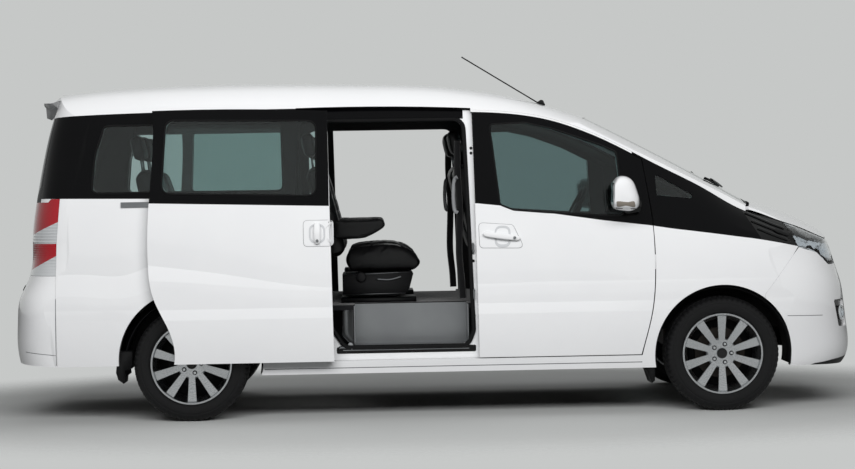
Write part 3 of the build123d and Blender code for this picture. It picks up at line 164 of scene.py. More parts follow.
def line_height(tree: Tree, position: Socket, table: list[Point2]) -> Socket:
    """Read a feature line in a shader.

    Args:
        tree: the node tree.
        position: socket with the position in metres.
        table: (position, value) pairs in millimetres.

    Returns:
        Socket with the line's value in metres.
    """
    low, high = table[0][0], table[-1][0]
    floor = min(v for _, v in table)
    span = max(v for _, v in table) - floor
    share = add_node(tree, "MapRange", {0: position, 1: low * MM, 2: high * MM})
    curve = add_node(tree, "FloatCurve", {"Value": share}, out=None)
    points = curve.mapping.curves[0].points
    for i, (x, v) in enumerate(table):
        place = ((x - low) / (high - low), (v - floor) / span)
        if i in (0, 1):
            points[i].location = place
        else:
            points.new(*place)
    for point in points:
        point.handle_type = "VECTOR"
    curve.mapping.update()
    return add_node(tree, "Math", (curve.outputs[0], span * MM, floor * MM), operation="MULTIPLY_ADD")


def object_axes(tree: Tree) -> tuple[Socket, Socket, Socket, Socket]:
    """Object coordinates and their X, Y and Z."""
    coords = add_node(tree, "TexCoord", out="Object")
    axes = add_node(tree, "SeparateXYZ", {0: coords}, out=None).outputs
    return coords, axes[0], axes[1], axes[2]


def where(tree: Tree, *tests: tuple[Socket, str, Socket | float]) -> Socket:
    """Mask that is 1 where every test holds and 0 elsewhere.

    Args:
        tree: the node tree.
        tests: each a value, "<" or ">", and its limit.

    Returns:
        The mask's socket.
    """
    mask = None
    for value, sign, limit in tests:
        operation = "LESS_THAN" if sign == "<" else "GREATER_THAN"
        passed = add_node(tree, "Math", (value, limit), operation=operation)
        mask = passed if mask is None else add_node(tree, "Math", (mask, passed), operation="MULTIPLY")
    return mask


def either(tree: Tree, *masks: Socket) -> Socket:
    """Mask that is 1 where any of the given masks is."""
    out = masks[0]
    for mask in masks[1:]:
        out = add_node(tree, "Math", (out, mask), operation="MAXIMUM")
    return out


def signed_normal(tree: Tree, axes: tuple[Socket, Socket]) -> tuple[Socket, Socket, Socket]:
    """Normal's parts away from the middle along X and Y, and its Z.

    Args:
        tree: the node tree.
        axes: object X and Y.

    Returns:
        Sockets of the part away from X = 0, the part away from Y = 0, and the upward part.
    """
    parts = add_node(tree, "SeparateXYZ", (add_node(tree, "NewGeometry", out="Normal"),), out=None).outputs
    away = [add_node(tree, "Math", (part, add_node(tree, "Math", (axis,), operation="SIGN")),
                     operation="MULTIPLY") for part, axis in zip(parts, axes)]
    return away[0], away[1], parts[2]


class Pattern(Enum):
    """Surface patterns that a finish can carry, with the detail of their noise."""

    SMOOTH = ("smooth", 2.0)
    GRAINED = ("grained", 2.0)
    LEATHER = ("leather", 4.0)
    BRUSHED = ("brushed", 3.0)
    CARPET = ("carpet", 6.0)
    CAST = ("cast", 5.0)
    WORN_RUBBER = ("worn rubber", 5.0)
    MACHINED = ("machined", 3.0)
    LENS = ("lens", 2.0)


class NodeFinish:
    """Anything that dresses a surface: it has a name and makes one shader."""

    name: str

    def shader(self, tree: Tree) -> Socket:
        """Add the shader to a tree and give its output."""
        raise NotImplementedError

    def material(self) -> bpy.types.Material:
        """The finish as a material, built once."""
        made = bpy.data.materials.get(self.name)
        if made is None:
            made = new_material(self.name)
            add_node(made.node_tree, "OutputMaterial", (self.shader(made.node_tree),))
        return made


@dataclass(frozen=True)
class Finish(NodeFinish):
    """One finish: what the surface is made of, its colours and its pattern.

    pattern_mm is the real size of the pattern's grain and depth_mm its relief.
    """

    name: str
    slot: str
    base: str
    shade: str
    roughness: float
    pattern: Pattern = Pattern.SMOOTH
    pattern_mm: float = 6.0
    depth_mm: float = 0.1
    metallic: float = 0.0
    coat: float = 0.0
    transmission: float = 0.0
    ior: float = 1.5
    sheen: float = 0.0

    def shader(self, tree: Tree) -> Socket:
        """Add this finish's shader to a tree.

        Args:
            tree: the node tree.

        Returns:
            The shader's output socket.
        """
        coords = add_node(tree, "TexCoord", out="Object")
        soft = self.speckle(tree, coords, 240.0, 2.0)
        fine = self.relief(tree, coords)
        blend = add_node(tree, "MixRGB", (soft, linear(self.base), linear(self.shade)))
        rough = add_node(tree, "MapRange",
                         {0: fine, 3: self.roughness * 0.88, 4: min(1.0, self.roughness * 1.12)})
        relief = add_node(tree, "Bump", {"Height": fine, "Distance": self.depth_mm * MM, "Strength": 1.0})
        return add_node(tree, "BsdfPrincipled",
                        {"Base Color": blend, "Roughness": rough, "Metallic": self.metallic, "IOR": self.ior,
                         "Normal": relief, "Coat Weight": self.coat, "Coat Roughness": 0.04,
                         "Transmission Weight": self.transmission, "Sheen Weight": self.sheen})

    @staticmethod
    def speckle(tree: Tree, coords: Socket, size: float, detail: float) -> Socket:
        """Soft speckle whose grain is about the given size in millimetres."""
        return add_node(tree, "TexNoise", {"Vector": coords, "Scale": 1000.0 / size, "Detail": detail}, "Fac")

    def relief(self, tree: Tree, coords: Socket) -> Socket:
        """Height of the finish's own pattern, from 0 to 1."""
        size, detail = self.pattern_mm, self.pattern.value[1]
        scale = {"Vector": coords, "Scale": 1000.0 / size}
        if self.pattern is Pattern.LENS:
            scale["Scale"] /= 6.28
            return add_node(tree, "TexWave", scale, "Fac", bands_direction="Z")
        if self.pattern in (Pattern.GRAINED, Pattern.LEATHER):
            cells = add_node(tree, "TexVoronoi", scale, "Distance", feature="DISTANCE_TO_EDGE")
            lifted = add_node(tree, "MapRange", {0: cells, 2: 0.28})
            if self.pattern is Pattern.GRAINED:
                return lifted
            lifted = add_node(tree, "Math", (lifted, 0.45), operation="MULTIPLY")
            creases = self.speckle(tree, coords, size * 14, detail)
            return add_node(tree, "Math", (creases, 0.7, lifted), operation="MULTIPLY_ADD")
        if self.pattern in (Pattern.BRUSHED, Pattern.MACHINED):
            coords = add_node(tree, "Mapping", {0: coords, 3: (0.04, 1.0, 1.0)})
        return self.speckle(tree, coords, size, detail)


def new_material(name: str) -> bpy.types.Material:
    """Empty node material."""
    made = bpy.data.materials.new(name)
    made.use_nodes = True
    made.node_tree.nodes.clear()
    return made


# Sprayed two-stage body paint: very pale, a soft orange peel under a hard clear coat.
WHITE_PAINT = Finish("white_clearcoat_paint", "paint", "EDEEEF", "E9EAEC", 0.34, pattern_mm=7.0,
                     depth_mm=0.012, coat=1.0)
# Acrylic pillar film: deep black, mirror smooth.
PILLAR_BLACK = Finish("pillar_black_film", "paint", "050506", "08080A", 0.14, pattern_mm=60.0, depth_mm=0.015,
                      ior=1.22)
# Moulded ABS left as it comes from a grained tool.
GRAINED_PLASTIC = Finish("grained_abs", "trim", "0B0B0C", "101011", 0.52, Pattern.GRAINED, 2.2, 0.12,
                         ior=1.38)
# Injection moulded ABS from a polished tool: black with sharp reflections.
GLOSS_PLASTIC = Finish("moulded_gloss_abs", "black_gloss", "070708", "0B0B0C", 0.16, pattern_mm=30.0,
                       depth_mm=0.02, ior=1.4)
# Float glass tinted in the melt: clear, darker and greener than the backdrop behind it.
TINTED_GLASS = Finish("green_tinted_glass", "glass", "A2B6B6", "9EB2B2", 0.01, pattern_mm=400.0, depth_mm=0.0,
                      transmission=1.0, ior=1.45)
# Toughened float glass with a lighter tint, so that two thicknesses still let the cabin be seen.
SIDE_GLASS = Finish("pale_green_glass", "glass", "D4E2E1", "D0DEDD", 0.01, pattern_mm=400.0, depth_mm=0.0,
                    transmission=1.0, ior=1.45)
# Moulded polycarbonate with a hard coat: clear with a bright edge.
CLEAR_LENS = Finish("clear_polycarbonate", "clear_lens", "F4F7FA", "EEF3F7", 0.03, pattern_mm=90.0,
                    depth_mm=0.02, transmission=1.0, ior=1.5)
# Moulded acrylic with fine ribs behind it: deep, saturated red.
RED_LENS = Finish("red_acrylic", "red_lens", "B80D20", "8A0816", 0.1, Pattern.LENS, 7.0, 0.2, coat=0.35,
                  ior=1.4)
# Acrylic over a silvered bowl: pale, broken highlights.
FROST_LENS = Finish("silvered_clear_acrylic", "red_lens", "DCDEE0", "C2C5C8", 0.14, Pattern.LENS, 9.0, 0.5,
                    coat=0.9, metallic=0.35)
# Vacuum-silvered thermoplastic: a soft mirror.
SILVERED = Finish("vacuum_silvered_bowl", "clear_lens", "E6E8EA", "D5D8DB", 0.1, pattern_mm=20.0,
                  depth_mm=0.15, metallic=1.0)
# Corrected hide, dyed through and sealed: black with a low sheen and fine creases.
LEATHER = Finish("black_corrected_leather", "leather", "070708", "0B0B0C", 0.4, Pattern.LEATHER, 2.4, 0.45,
                 ior=1.42)
# Spun polyester thread: dull grey against the hide.
STITCH = Finish("grey_polyester_thread", "leather", "3A3A3C", "303032", 0.7, pattern_mm=1.2, depth_mm=0.2)
# Extruded EPDM: matt black, slightly rubbed.
RUBBER = Finish("extruded_epdm_rubber", "rubber", "070708", "0B0B0C", 0.55, Pattern.WORN_RUBBER, 1.6, 0.05,
                ior=1.35)
# Vulcanised tyre rubber: dry, nearly black.
TYRE_RUBBER = Finish("tyre_rubber", "tyre", "0C0C0D", "131314", 0.6, Pattern.WORN_RUBBER, 3.0, 0.12, ior=1.38)
# Cast aluminium, turned and lacquered: bright, with fine turning marks.
MACHINED_ALLOY = Finish("machined_cast_aluminium", "alloy", "C9CBCD", "B7B9BC", 0.27, Pattern.MACHINED, 0.9,
                        0.03, metallic=1.0, coat=0.35)
# Painted shade in the wheels' hollows: near black, laid in the wells round the nuts and on the centre caps.
WHEEL_SHADOW = Finish("dark_barrel_paint", "alloy", "0E0E0F", "0A0A0B", 0.5, Pattern.CAST, 4.0, 0.08)
# Brushed stainless sheet: grey with drawn-out highlights.
BRUSHED = Finish("brushed_stainless_step", "floor", "A4A6A8", "8F9194", 0.34, Pattern.BRUSHED, 1.1, 0.03,
                 metallic=0.9)
# Zinc-plated pressed steel: mid grey, faintly mottled.
BARE_STEEL = Finish("zinc_plated_steel", "steel", "A7A9AC", "8D8F92", 0.38, Pattern.CAST, 5.0, 0.05,
                    metallic=1.0)
# Brushed-on wax coat over steel: black and uneven.
CHASSIS_BLACK = Finish("chassis_wax_coat", "steel", "08080A", "0D0D0E", 0.65, Pattern.CAST, 9.0, 0.25,
                       ior=1.35)
# Grey cast iron with a light film of oil: brown-grey.
IRON = Finish("cast_iron_hub", "iron", "4A4542", "38332F", 0.55, Pattern.CAST, 4.0, 0.3, metallic=0.8)
# Aluminised mild steel tube: dull silver.
EXHAUST = Finish("aluminised_exhaust_steel", "exhaust", "8A8884", "6E6A64", 0.45, Pattern.BRUSHED, 3.0, 0.05,
                 metallic=1.0)
# Needle-felt floor carpet: black fibres that take no highlight.
CARPET = Finish("needle_felt_carpet", "floor", "0D0D0F", "141416", 0.95, Pattern.CARPET, 2.0, 0.9, sheen=0.2)
# Knitted polyester on foam: soft black.
HEADLINER = Finish("black_knit_headliner", "trim", "0B0B0C", "101011", 0.9, Pattern.CARPET, 1.6, 0.2,
                   sheen=0.15)
# Nickel-chrome plate on ABS: a plain mirror.
CHROME = Finish("plated_chrome", "chrome", "D9DBDD", "CFD1D3", 0.06, pattern_mm=40.0, depth_mm=0.01,
                metallic=1.0)


class Region(Enum):
    """Where a body node's second and third finishes lie."""

    SIDE = "side"               # black glass band outside, dark trim inside the flange
    DOOR = "door"               # black glass band outside, dark trim on the cabin side
    SLIDING = "sliding"
    ROOF = "roof"
    PLAIN = "plain"             # painted outside, dark underneath
    TAIL = "tail"               # as plain, with a black band round the rear window


@dataclass(frozen=True)
class BodyFinish(NodeFinish):
    """White body paint with the black window band and the dark cabin side, split by place."""

    region: Region
    band_low: float = 1.351         # black band round the rear window
    band_high: float = 1.836
    front_from: float = 1.080       # stations where the side frame itself carries the black band
    rear_from: float = -0.905
    header_low: float = 1.792       # black header over the sliding doorway
    header_front: float = 0.060
    slide_front: float = 0.1035     # the sliding door's folded edge ahead of this station stays white
    flange_depth: float = 0.012     # inner flange's trim reaches this far out from it

    @property
    def name(self) -> str:
        """Name of its material."""
        return f"body_{self.region.value}"

    def shader(self, tree: Tree) -> Socket:
        """Paint, black band and dark inside, mixed by place."""
        _, x, y, z = object_axes(tree)
        along, outward, up = signed_normal(tree, (x, y))
        paint, black = WHITE_PAINT.shader(tree), PILLAR_BLACK.shader(tree)
        trim = (HEADLINER if self.region is Region.ROOF else GRAINED_PLASTIC).shader(tree)
        if self.region in (Region.ROOF, Region.PLAIN, Region.TAIL):
            inside = either(tree, where(tree, (up, "<", -0.35)), where(tree, (outward, "<", -0.3)))
            if self.region is not Region.ROOF:
                inside = either(tree, inside, where(tree, (along, "<", -0.3)))
            if self.region is Region.TAIL:
                band = where(tree, (z, ">", self.band_low), (z, "<", self.band_high))
                paint = add_node(tree, "MixShader", (band, paint, black))
            return add_node(tree, "MixShader", (inside, paint, trim))
        shift = STATION - (SLIDE_TRAVEL if self.region is Region.SLIDING else 0.0)
        station = add_node(tree, "Math", (x, shift), operation="SUBTRACT")
        tests = [(z, ">", line_height(tree, station, BELT_LINE))]
        if self.region is Region.SIDE:
            header = where(tree, (z, ">", self.header_low), (station, "<", self.header_front))
            own = either(tree, header, where(tree, (station, ">", self.front_from)),
                         where(tree, (station, "<", self.rear_from)))
            tests += [(outward, ">", -0.2), (own, ">", 0.5)]
            reach = add_node(tree, "Math", (y,), operation="ABSOLUTE")
            depth = add_node(tree, "Math", (reach, line_height(tree, z, FLANGE_LINE)), operation="SUBTRACT")
            inside = where(tree, (depth, "<", self.flange_depth), (outward, "<", 0.5))
        else:
            tests.append((outward, ">", 0.35))
            if self.region is Region.SLIDING:
                tests.append((station, "<", self.slide_front))
            inside = where(tree, (outward, "<", -0.35))
        skin = add_node(tree, "MixShader", (where(tree, *tests), paint, black))
        return add_node(tree, "MixShader", (inside, skin, trim))


@dataclass(frozen=True)
class FloorPanFinish(NodeFinish):
    """Underbody: carpet on the cabin floor, brushed steel in the step wells, wax coat below."""

    name: str = "floor_pan"
    step_x: Point2 = (-0.51, 0.18)
    step_y: float = 0.635
    step_z: Point2 = (0.415, 0.672)
    carpet_z: float = 0.646

    def shader(self, tree: Tree) -> Socket:
        """Carpet, steel and wax, mixed by place."""
        _, x, y, z = object_axes(tree)
        up = signed_normal(tree, (x, y))[2]
        lower = add_node(tree, "MixShader",
                         (where(tree, (z, ">", self.carpet_z)), CHASSIS_BLACK.shader(tree),
                          CARPET.shader(tree)))
        reach = add_node(tree, "Math", (y,), operation="ABSOLUTE")
        inside = where(tree, (x, ">", self.step_x[0]), (x, "<", self.step_x[1]), (reach, ">", self.step_y),
                       (z, ">", self.step_z[0]), (z, "<", self.step_z[1]), (up, ">", -0.5))
        return add_node(tree, "MixShader", (inside, lower, BRUSHED.shader(tree)))


@dataclass(frozen=True)
class TailLampFinish(NodeFinish):
    """Tail lamp: red, clear, red and clear fields with slanting divisions."""

    name: str = "tail_lamp_lens"
    split: float = 1.081
    slants: tuple[Point2, Point2] = ((0.429, 2.231), (0.494, 2.190))    # slope and height of each division

    def shader(self, tree: Tree) -> Socket:
        """Red and clear fields, mixed by place."""
        _, x, _, z = object_axes(tree)
        station = add_node(tree, "Math", (x, STATION), operation="SUBTRACT")
        upper, lower = (add_node(tree, "Math", (station, *slant), operation="MULTIPLY_ADD")
                        for slant in self.slants)
        red = either(tree, where(tree, (z, ">", upper)), where(tree, (z, "<", self.split), (z, ">", lower)))
        return add_node(tree, "MixShader", (red, FROST_LENS.shader(tree), RED_LENS.shader(tree)))


# Which finish each carried-over node takes.
NODE_FINISH: dict[str, NodeFinish] = {
    "side_frame_right": BodyFinish(Region.SIDE), "side_frame_left": BodyFinish(Region.SIDE),
    "front_door_right": BodyFinish(Region.DOOR), "front_door_left": BodyFinish(Region.DOOR),
    "sliding_doors": BodyFinish(Region.SLIDING), "roof": BodyFinish(Region.ROOF),
    "bonnet": BodyFinish(Region.PLAIN), "front_fenders": BodyFinish(Region.PLAIN),
    "tailgate": BodyFinish(Region.TAIL), "front_bumper": BodyFinish(Region.PLAIN),
    "rear_bumper": BodyFinish(Region.PLAIN), "underbody": FloorPanFinish(), "tail_lamps": TailLampFinish(),
    "cowl": GRAINED_PLASTIC, "grille": GLOSS_PLASTIC, "gill_vents": GLOSS_PLASTIC, "antenna": RUBBER,
    "mudflaps": RUBBER, "dashboard": GRAINED_PLASTIC, "steering_wheel": LEATHER, "exhaust_system": EXHAUST,
    "fuel_tank": CHASSIS_BLACK, "front_subframe": CHASSIS_BLACK, "rear_axle": CHASSIS_BLACK,
    "engine_block": IRON, "sliding_door_runners": BARE_STEEL, "steering_knuckle_right": IRON,
    "steering_knuckle_left": IRON, "front_seats": LEATHER, "captain_seats": LEATHER, "rear_bench": LEATHER,
    "headlamps": CLEAR_LENS, "fog_lamps": GLOSS_PLASTIC,
}


def dress_nodes(nodes: dict[str, Object]) -> None:
    """Give every carried-over node its finish.

    Args:
        nodes: node name to its object.
    """
    for name, obj in nodes.items():
        finish = NODE_FINISH.get(name)
        if finish is None:
            finish = WHITE_PAINT
            if "glass" in name or name == "windscreen":
                finish = SIDE_GLASS if name in ("sliding_door_glass", "fixed_side_glass") else TINTED_GLASS
            elif name.startswith("tyre"):
                finish = TYRE_RUBBER
            elif name.startswith("wheel"):
                finish = MACHINED_ALLOY
        obj.data.materials.clear()
        obj.data.materials.append(finish.material())
    LOG.info("dressed %d nodes", len(nodes))


# ------------------------------------------------------------------ mesh helpers
def link_mesh(name: str, mesh: bpy.types.Mesh) -> Object:
    """Put a mesh in the scene as an object at the origin."""
    obj = bpy.data.objects.new(name, mesh)
    bpy.context.scene.collection.objects.link(obj)
    return obj


def bm_object(name: str, bm: BMesh, smooth: bool = True) -> Object:
    """Turn a bmesh into an object with outward faces.

    Args:
        name: name of the piece.
        bm: the geometry, freed here.
        smooth: whether its faces are shaded smooth.

    Returns:
        The new object.
    """
    bmesh.ops.recalc_face_normals(bm, faces=bm.faces)
    mesh = bpy.data.meshes.new(name)
    bm.to_mesh(mesh)
    bm.free()
    mesh.shade_smooth() if smooth else mesh.shade_flat()
    return link_mesh(name, mesh)


def settle(obj: Object, finish: Finish, body: str,
           nodes: tuple[str, ...] = ()) -> Object:
    """Give a finished piece its material, body and the nodes that it stands for.

    Args:
        obj: the piece.
        finish: its finish.
        body: the CAD body it rides on.
        nodes: CAD nodes that it replaces.

    Returns:
        The piece.
    """
    if not obj.data.materials:
        obj.data.materials.append(finish.material())
    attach(obj, body)
    if nodes:
        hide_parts(*nodes)
    LOG.info("piece %s on %s", obj.name, body)
    return obj


def add_piece(name: str, bm: BMesh, finish: Finish, body: str,
              nodes: tuple[str, ...] = (), smooth: bool = True) -> Object:
    """Turn a bmesh into a finished piece, as bm_object and settle do."""
    return settle(bm_object(name, bm, smooth), finish, body, nodes)


def apply_modifiers(obj: Object) -> None:
    """Turn an object's evaluated mesh into its own and drop the modifiers."""
    graph = bpy.context.evaluated_depsgraph_get()
    mesh = bpy.data.meshes.new_from_object(obj.evaluated_get(graph), depsgraph=graph)
    obj.modifiers.clear()
    obj.data = mesh


def add_modifier(obj: Object, kind: str, **settings: object) -> bpy.types.Modifier:
    """Add a modifier with its settings."""
    modifier = obj.modifiers.new(kind.lower(), kind)
    for key, value in settings.items():
        setattr(modifier, key, value)
    return modifier


def rounded_outline(corners: list[Point2], radius: float, steps: int = 6) -> list[Point2]:
    """Closed outline with its corners rounded.

    Args:
        corners: polygon corners in millimetres.
        radius: corner radius in millimetres.
        steps: points on each corner.

    Returns:
        The rounded polygon.
    """
    out: list[Point2] = []
    count = len(corners)
    for i in range(count):
        p = Vector(corners[i])
        a = Vector(corners[i - 1]) - p
        b = Vector(corners[(i + 1) % count]) - p
        reach = min(radius / max(0.2, math.tan(a.angle(b) / 2)), a.length * 0.48, b.length * 0.48)
        start, end = p + a.normalized() * reach, p + b.normalized() * reach
        for k in range(steps + 1):
            t = k / steps
            q = start * (1 - t) ** 2 + p * 2 * t * (1 - t) + end * t**2
            out.append((q.x, q.y))
    return out


def resample(points: list[Point2], step: float, closed: bool) -> list[Point2]:
    """Add points so that no run is longer than a step."""
    out: list[Point2] = []
    ends = points + points[:1] if closed else points
    for (x0, z0), (x1, z1) in zip(ends, ends[1:]):
        count = max(1, math.ceil(math.hypot(x1 - x0, z1 - z0) / step))
        out += [(x0 + (x1 - x0) * k / count, z0 + (z1 - z0) * k / count) for k in range(count)]
    return out if closed else out + [points[-1]]


def loft(bm: BMesh, rings: list[list[bmesh.types.BMVert]], closed: bool = False) -> None:
    """Join rings of corners with faces.

    Args:
        bm: where the faces go.
        rings: corners ring by ring, as many in each.
        closed: whether the last ring joins the first, otherwise both ends are capped.
    """
    for low, high in zip(rings, rings[1:] + rings[:1] if closed else rings[1:]):
        for k, corner in enumerate(low):
            after = (k + 1) % len(low)
            bm.faces.new((corner, low[after], high[after], high[k]))
    if not closed:
        bm.faces.new(rings[0])
        bm.faces.new(list(reversed(rings[-1])))


def sweep(bm: BMesh, path: list[Vector], normals: list[Vector], profile: list[Point2], closed: bool) -> None:
    """Sweep a closed profile along a path that lies on a surface.

    Args:
        bm: where the faces go.
        path: points of the path.
        normals: surface normal at each point.
        profile: (across, out) corners of the profile.
        closed: whether the path closes on itself.
    """
    rings = []
    count = len(path)
    for i, (p, n) in enumerate(zip(path, normals)):
        before = path[i - 1] if closed or i else p
        after = path[(i + 1) % count] if closed or i < count - 1 else p
        along = (after - before).normalized()
        across = along.cross(n).normalized()
        rings.append([bm.verts.new(p + across * a + n * o) for a, o in profile])
    loft(bm, rings, closed)


def round_profile(width: float, height: float, sides: int = 10, sink: float = 0.0) -> list[Point2]:
    """Oval profile, sunk by a share of its height."""
    return [(width / 2 * math.cos(2 * math.pi * k / sides),
             height / 2 * math.sin(2 * math.pi * k / sides) - sink) for k in range(sides)]


class Skin:
    """Outer surfaces of carried-over nodes, for laying trim on them."""

    def __init__(self, nodes: dict[str, Object], names: list[str]) -> None:
        """Build the search tree over the named nodes.

        Args:
            nodes: node name to its object.
            names: the nodes to lay trim on.
        """
        verts: list[Vector] = []
        faces: list[tuple[int, ...]] = []
        for name in names:
            base = len(verts)
            mesh = nodes[name].data
            verts += [v.co.copy() for v in mesh.vertices]
            faces += [tuple(base + i for i in p.vertices) for p in mesh.polygons]
        self.tree = BVHTree.FromPolygons(verts, faces)

    def hit(self, origin: Vector, direction: Vector) -> tuple[Vector, Vector] | None:
        """First point and normal that a ray meets, its normal turned against the ray."""
        place, normal, _, _ = self.tree.ray_cast(origin, direction)
        if place is None:
            return None
        return place, (normal if normal.dot(direction) < 0 else -normal)

    def side(self, station: float, height: float, side: int) -> tuple[Vector, Vector] | None:
        """Point and normal of the body side.

        Args:
            station: station in millimetres.
            height: height in millimetres.
            side: -1 for the right side and 1 for the left.

        Returns:
            The point and its outward normal, or None.
        """
        origin = Vector((station * MM + STATION, 1.6 * side, height * MM))
        return self.hit(origin, Vector((0.0, -side, 0.0)))

    def along_side(self, points: list[Point2], side: int) -> tuple[list[Vector], list[Vector]]:
        """Points and normals of the body side under a line of (station, height) points."""
        found = [self.side(x, z, side) for x, z in points]
        kept = [f for f in found if f]
        return [p for p, _ in kept], [n for _, n in kept]


@dataclass(frozen=True)
class Softbox:
    """One rectangular lamp: its place, aim, size and power, and whether gloss mirrors it."""

    name: str
    place: tuple[float, float, float]
    aim: tuple[float, float, float]
    size: Point2
    power: float
    mirrored: bool = False


@dataclass
class Studio:
    """Camera, plain soft light, pale floor and backdrop."""

    eye: tuple[float, float, float] = (-0.3773, -12.922, 1.3571)
    yaw: float = 1.516
    pitch: float = 1.245
    roll: float = 1.025
    focal_length: float = 84.21
    backdrop: str = "C6C8C7"
    floor_colour: str = "BFC1C0"
    floor_bounce: str = "6A6B6B"
    floor_size: float = 60.0
    floor_drop: float = 0.0005
    floor_reach: Point2 = (4.6, 3.0)            # where the floor has faded into the backdrop
    fill: float = 0.20                          # strength of the soft light from all round
    softboxes: tuple[Softbox, ...] = (
        Softbox("overhead", (0.0, -0.4, 6.0), (0.0, 0.0, 0.6), (9.0, 4.0), 22.0, True),
        Softbox("side", (0.0, -7.2, 4.3), (0.0, 0.0, 0.9), (9.0, 2.6), 590.0),
        Softbox("far_side", (0.0, 7.2, 4.9), (0.0, 0.0, 0.9), (9.0, 2.6), 150.0))

    def build(self) -> None:
        """Make the camera, lights, world and floor."""
        self.camera()
        self.world()
        self.lights()
        self.floor()

    def camera(self) -> None:
        """Camera at the viewing place, with its measured turn and roll."""
        yaw, pitch, roll = (math.radians(a) for a in (self.yaw, self.pitch, self.roll))
        ahead = Vector((math.sin(yaw) * math.cos(pitch), math.cos(yaw) * math.cos(pitch), -math.sin(pitch)))
        right = Vector((math.cos(yaw), -math.sin(yaw), 0.0))
        up = right.cross(ahead)
        tilted_right = right * math.cos(roll) - up * math.sin(roll)
        tilted_up = right * math.sin(roll) + up * math.cos(roll)
        data = bpy.data.cameras.new("camera")
        data.lens = self.focal_length
        data.sensor_width = 36.0
        data.clip_end = 200.0
        obj = bpy.data.objects.new("camera", data)
        bpy.context.scene.collection.objects.link(obj)
        columns = Matrix((tilted_right, tilted_up, -ahead)).transposed()
        obj.matrix_world = Matrix.Translation(self.eye) @ columns.to_4x4()
        bpy.context.scene.camera = obj

    def world(self) -> None:
        """Backdrop colour for what is seen, mirrored or seen through, and a soft white for the rest."""
        world = bpy.data.worlds.new("studio")
        bpy.context.scene.world = world
        world.use_nodes = True
        tree = world.node_tree
        tree.nodes.clear()
        path = add_node(tree, "LightPath", out=None).outputs
        seen = add_node(tree, "Math", (path["Is Camera Ray"], path["Is Transmission Ray"]),
                        operation="MAXIMUM")
        seen = add_node(tree, "Math", (seen, path["Is Glossy Ray"]), operation="MAXIMUM")
        fill = add_node(tree, "Background", {"Color": linear("FFFFFF"), "Strength": self.fill})
        shown = add_node(tree, "Background", {"Color": linear(self.backdrop), "Strength": 1.0})
        add_node(tree, "OutputWorld", {0: add_node(tree, "MixShader", (seen, fill, shown))})

    def lights(self) -> None:
        """A softbox overhead, a strong one from the viewer's side and a weak one from the far side."""
        for lamp in self.softboxes:
            data = bpy.data.lights.new(lamp.name, "AREA")
            data.shape = "RECTANGLE"
            data.size, data.size_y = lamp.size
            data.energy = lamp.power
            obj = bpy.data.objects.new(lamp.name, data)
            bpy.context.scene.collection.objects.link(obj)
            obj.location = lamp.place
            obj.visible_glossy = lamp.mirrored
            obj.visible_transmission = False
            obj.rotation_euler = (Vector(lamp.aim) - Vector(lamp.place)).to_track_quat("-Z", "Y").to_euler()

    def floor(self) -> None:
        """Pale floor that keeps the van's shadow and fades into the backdrop further out."""
        bm = bmesh.new()
        bmesh.ops.create_grid(bm, x_segments=2, y_segments=2, size=self.floor_size)
        obj = bm_object("studio_floor", bm)
        obj.location.z = -self.floor_drop
        made = new_material("studio_floor")
        tree = made.node_tree
        _, x, y, _ = object_axes(tree)
        squares = []
        for axis, limit in zip((x, y), self.floor_reach):
            share = add_node(tree, "Math", (axis, limit), operation="DIVIDE")
            squares.append(add_node(tree, "Math", (share, share), operation="MULTIPLY"))
        total = add_node(tree, "Math", tuple(squares), operation="ADD")
        reach = add_node(tree, "Math", (total,), operation="SQRT")
        fade = add_node(tree, "MapRange", {0: reach, 1: 0.65, 2: 1.0}, interpolation_type="SMOOTHSTEP")
        dim = add_node(tree, "BsdfDiffuse", {0: linear(self.floor_bounce)})
        lit = add_node(tree, "BsdfDiffuse", {0: linear(self.floor_colour)})
        clear = add_node(tree, "BsdfTransparent")
        path = add_node(tree, "LightPath", out=None).outputs
        seen = add_node(tree, "Math", (path["Is Camera Ray"], path["Is Transmission Ray"]),
                        operation="MAXIMUM")
        shown = add_node(tree, "Math", (fade, seen), operation="MULTIPLY")
        plain = add_node(tree, "Math", (seen, path["Is Glossy Ray"]), operation="MAXIMUM")
        lit = add_node(tree, "MixShader", (plain, dim, lit))
        add_node(tree, "OutputMaterial", {0: add_node(tree, "MixShader", (shown, lit, clear))})
        obj.data.materials.append(made)


def point(station: float, y: float, z: float) -> Vector:
    """Point in the row frame from a station, a Y and a height in millimetres."""
    return Vector((station * MM + STATION, y * MM, z * MM))


def revolve(bm: BMesh, centre: Vector, profile: list[Point2], segments: int, side: int,
            shape: object = None) -> None:
    """Turn a closed profile about a wheel's axis.

    Args:
        bm: where the faces go.
        centre: the wheel's centre.
        profile: (radius, outward distance) corners in metres, outward along the wheel's own side.
        segments: steps of the turn.
        side: -1 for a right wheel and 1 for a left one.
        shape: optional function of (segment, corner, radius) that gives the radius there.
    """
    rings = []
    for i in range(segments):
        angle = 2 * math.pi * i / segments
        ring = []
        for k, (radius, out) in enumerate(profile):
            r = shape(i, k, radius) if shape else radius
            ring.append(bm.verts.new(centre + Vector((r * math.cos(angle), side * out, r * math.sin(angle)))))
        rings.append(ring)
    loft(bm, rings, True)


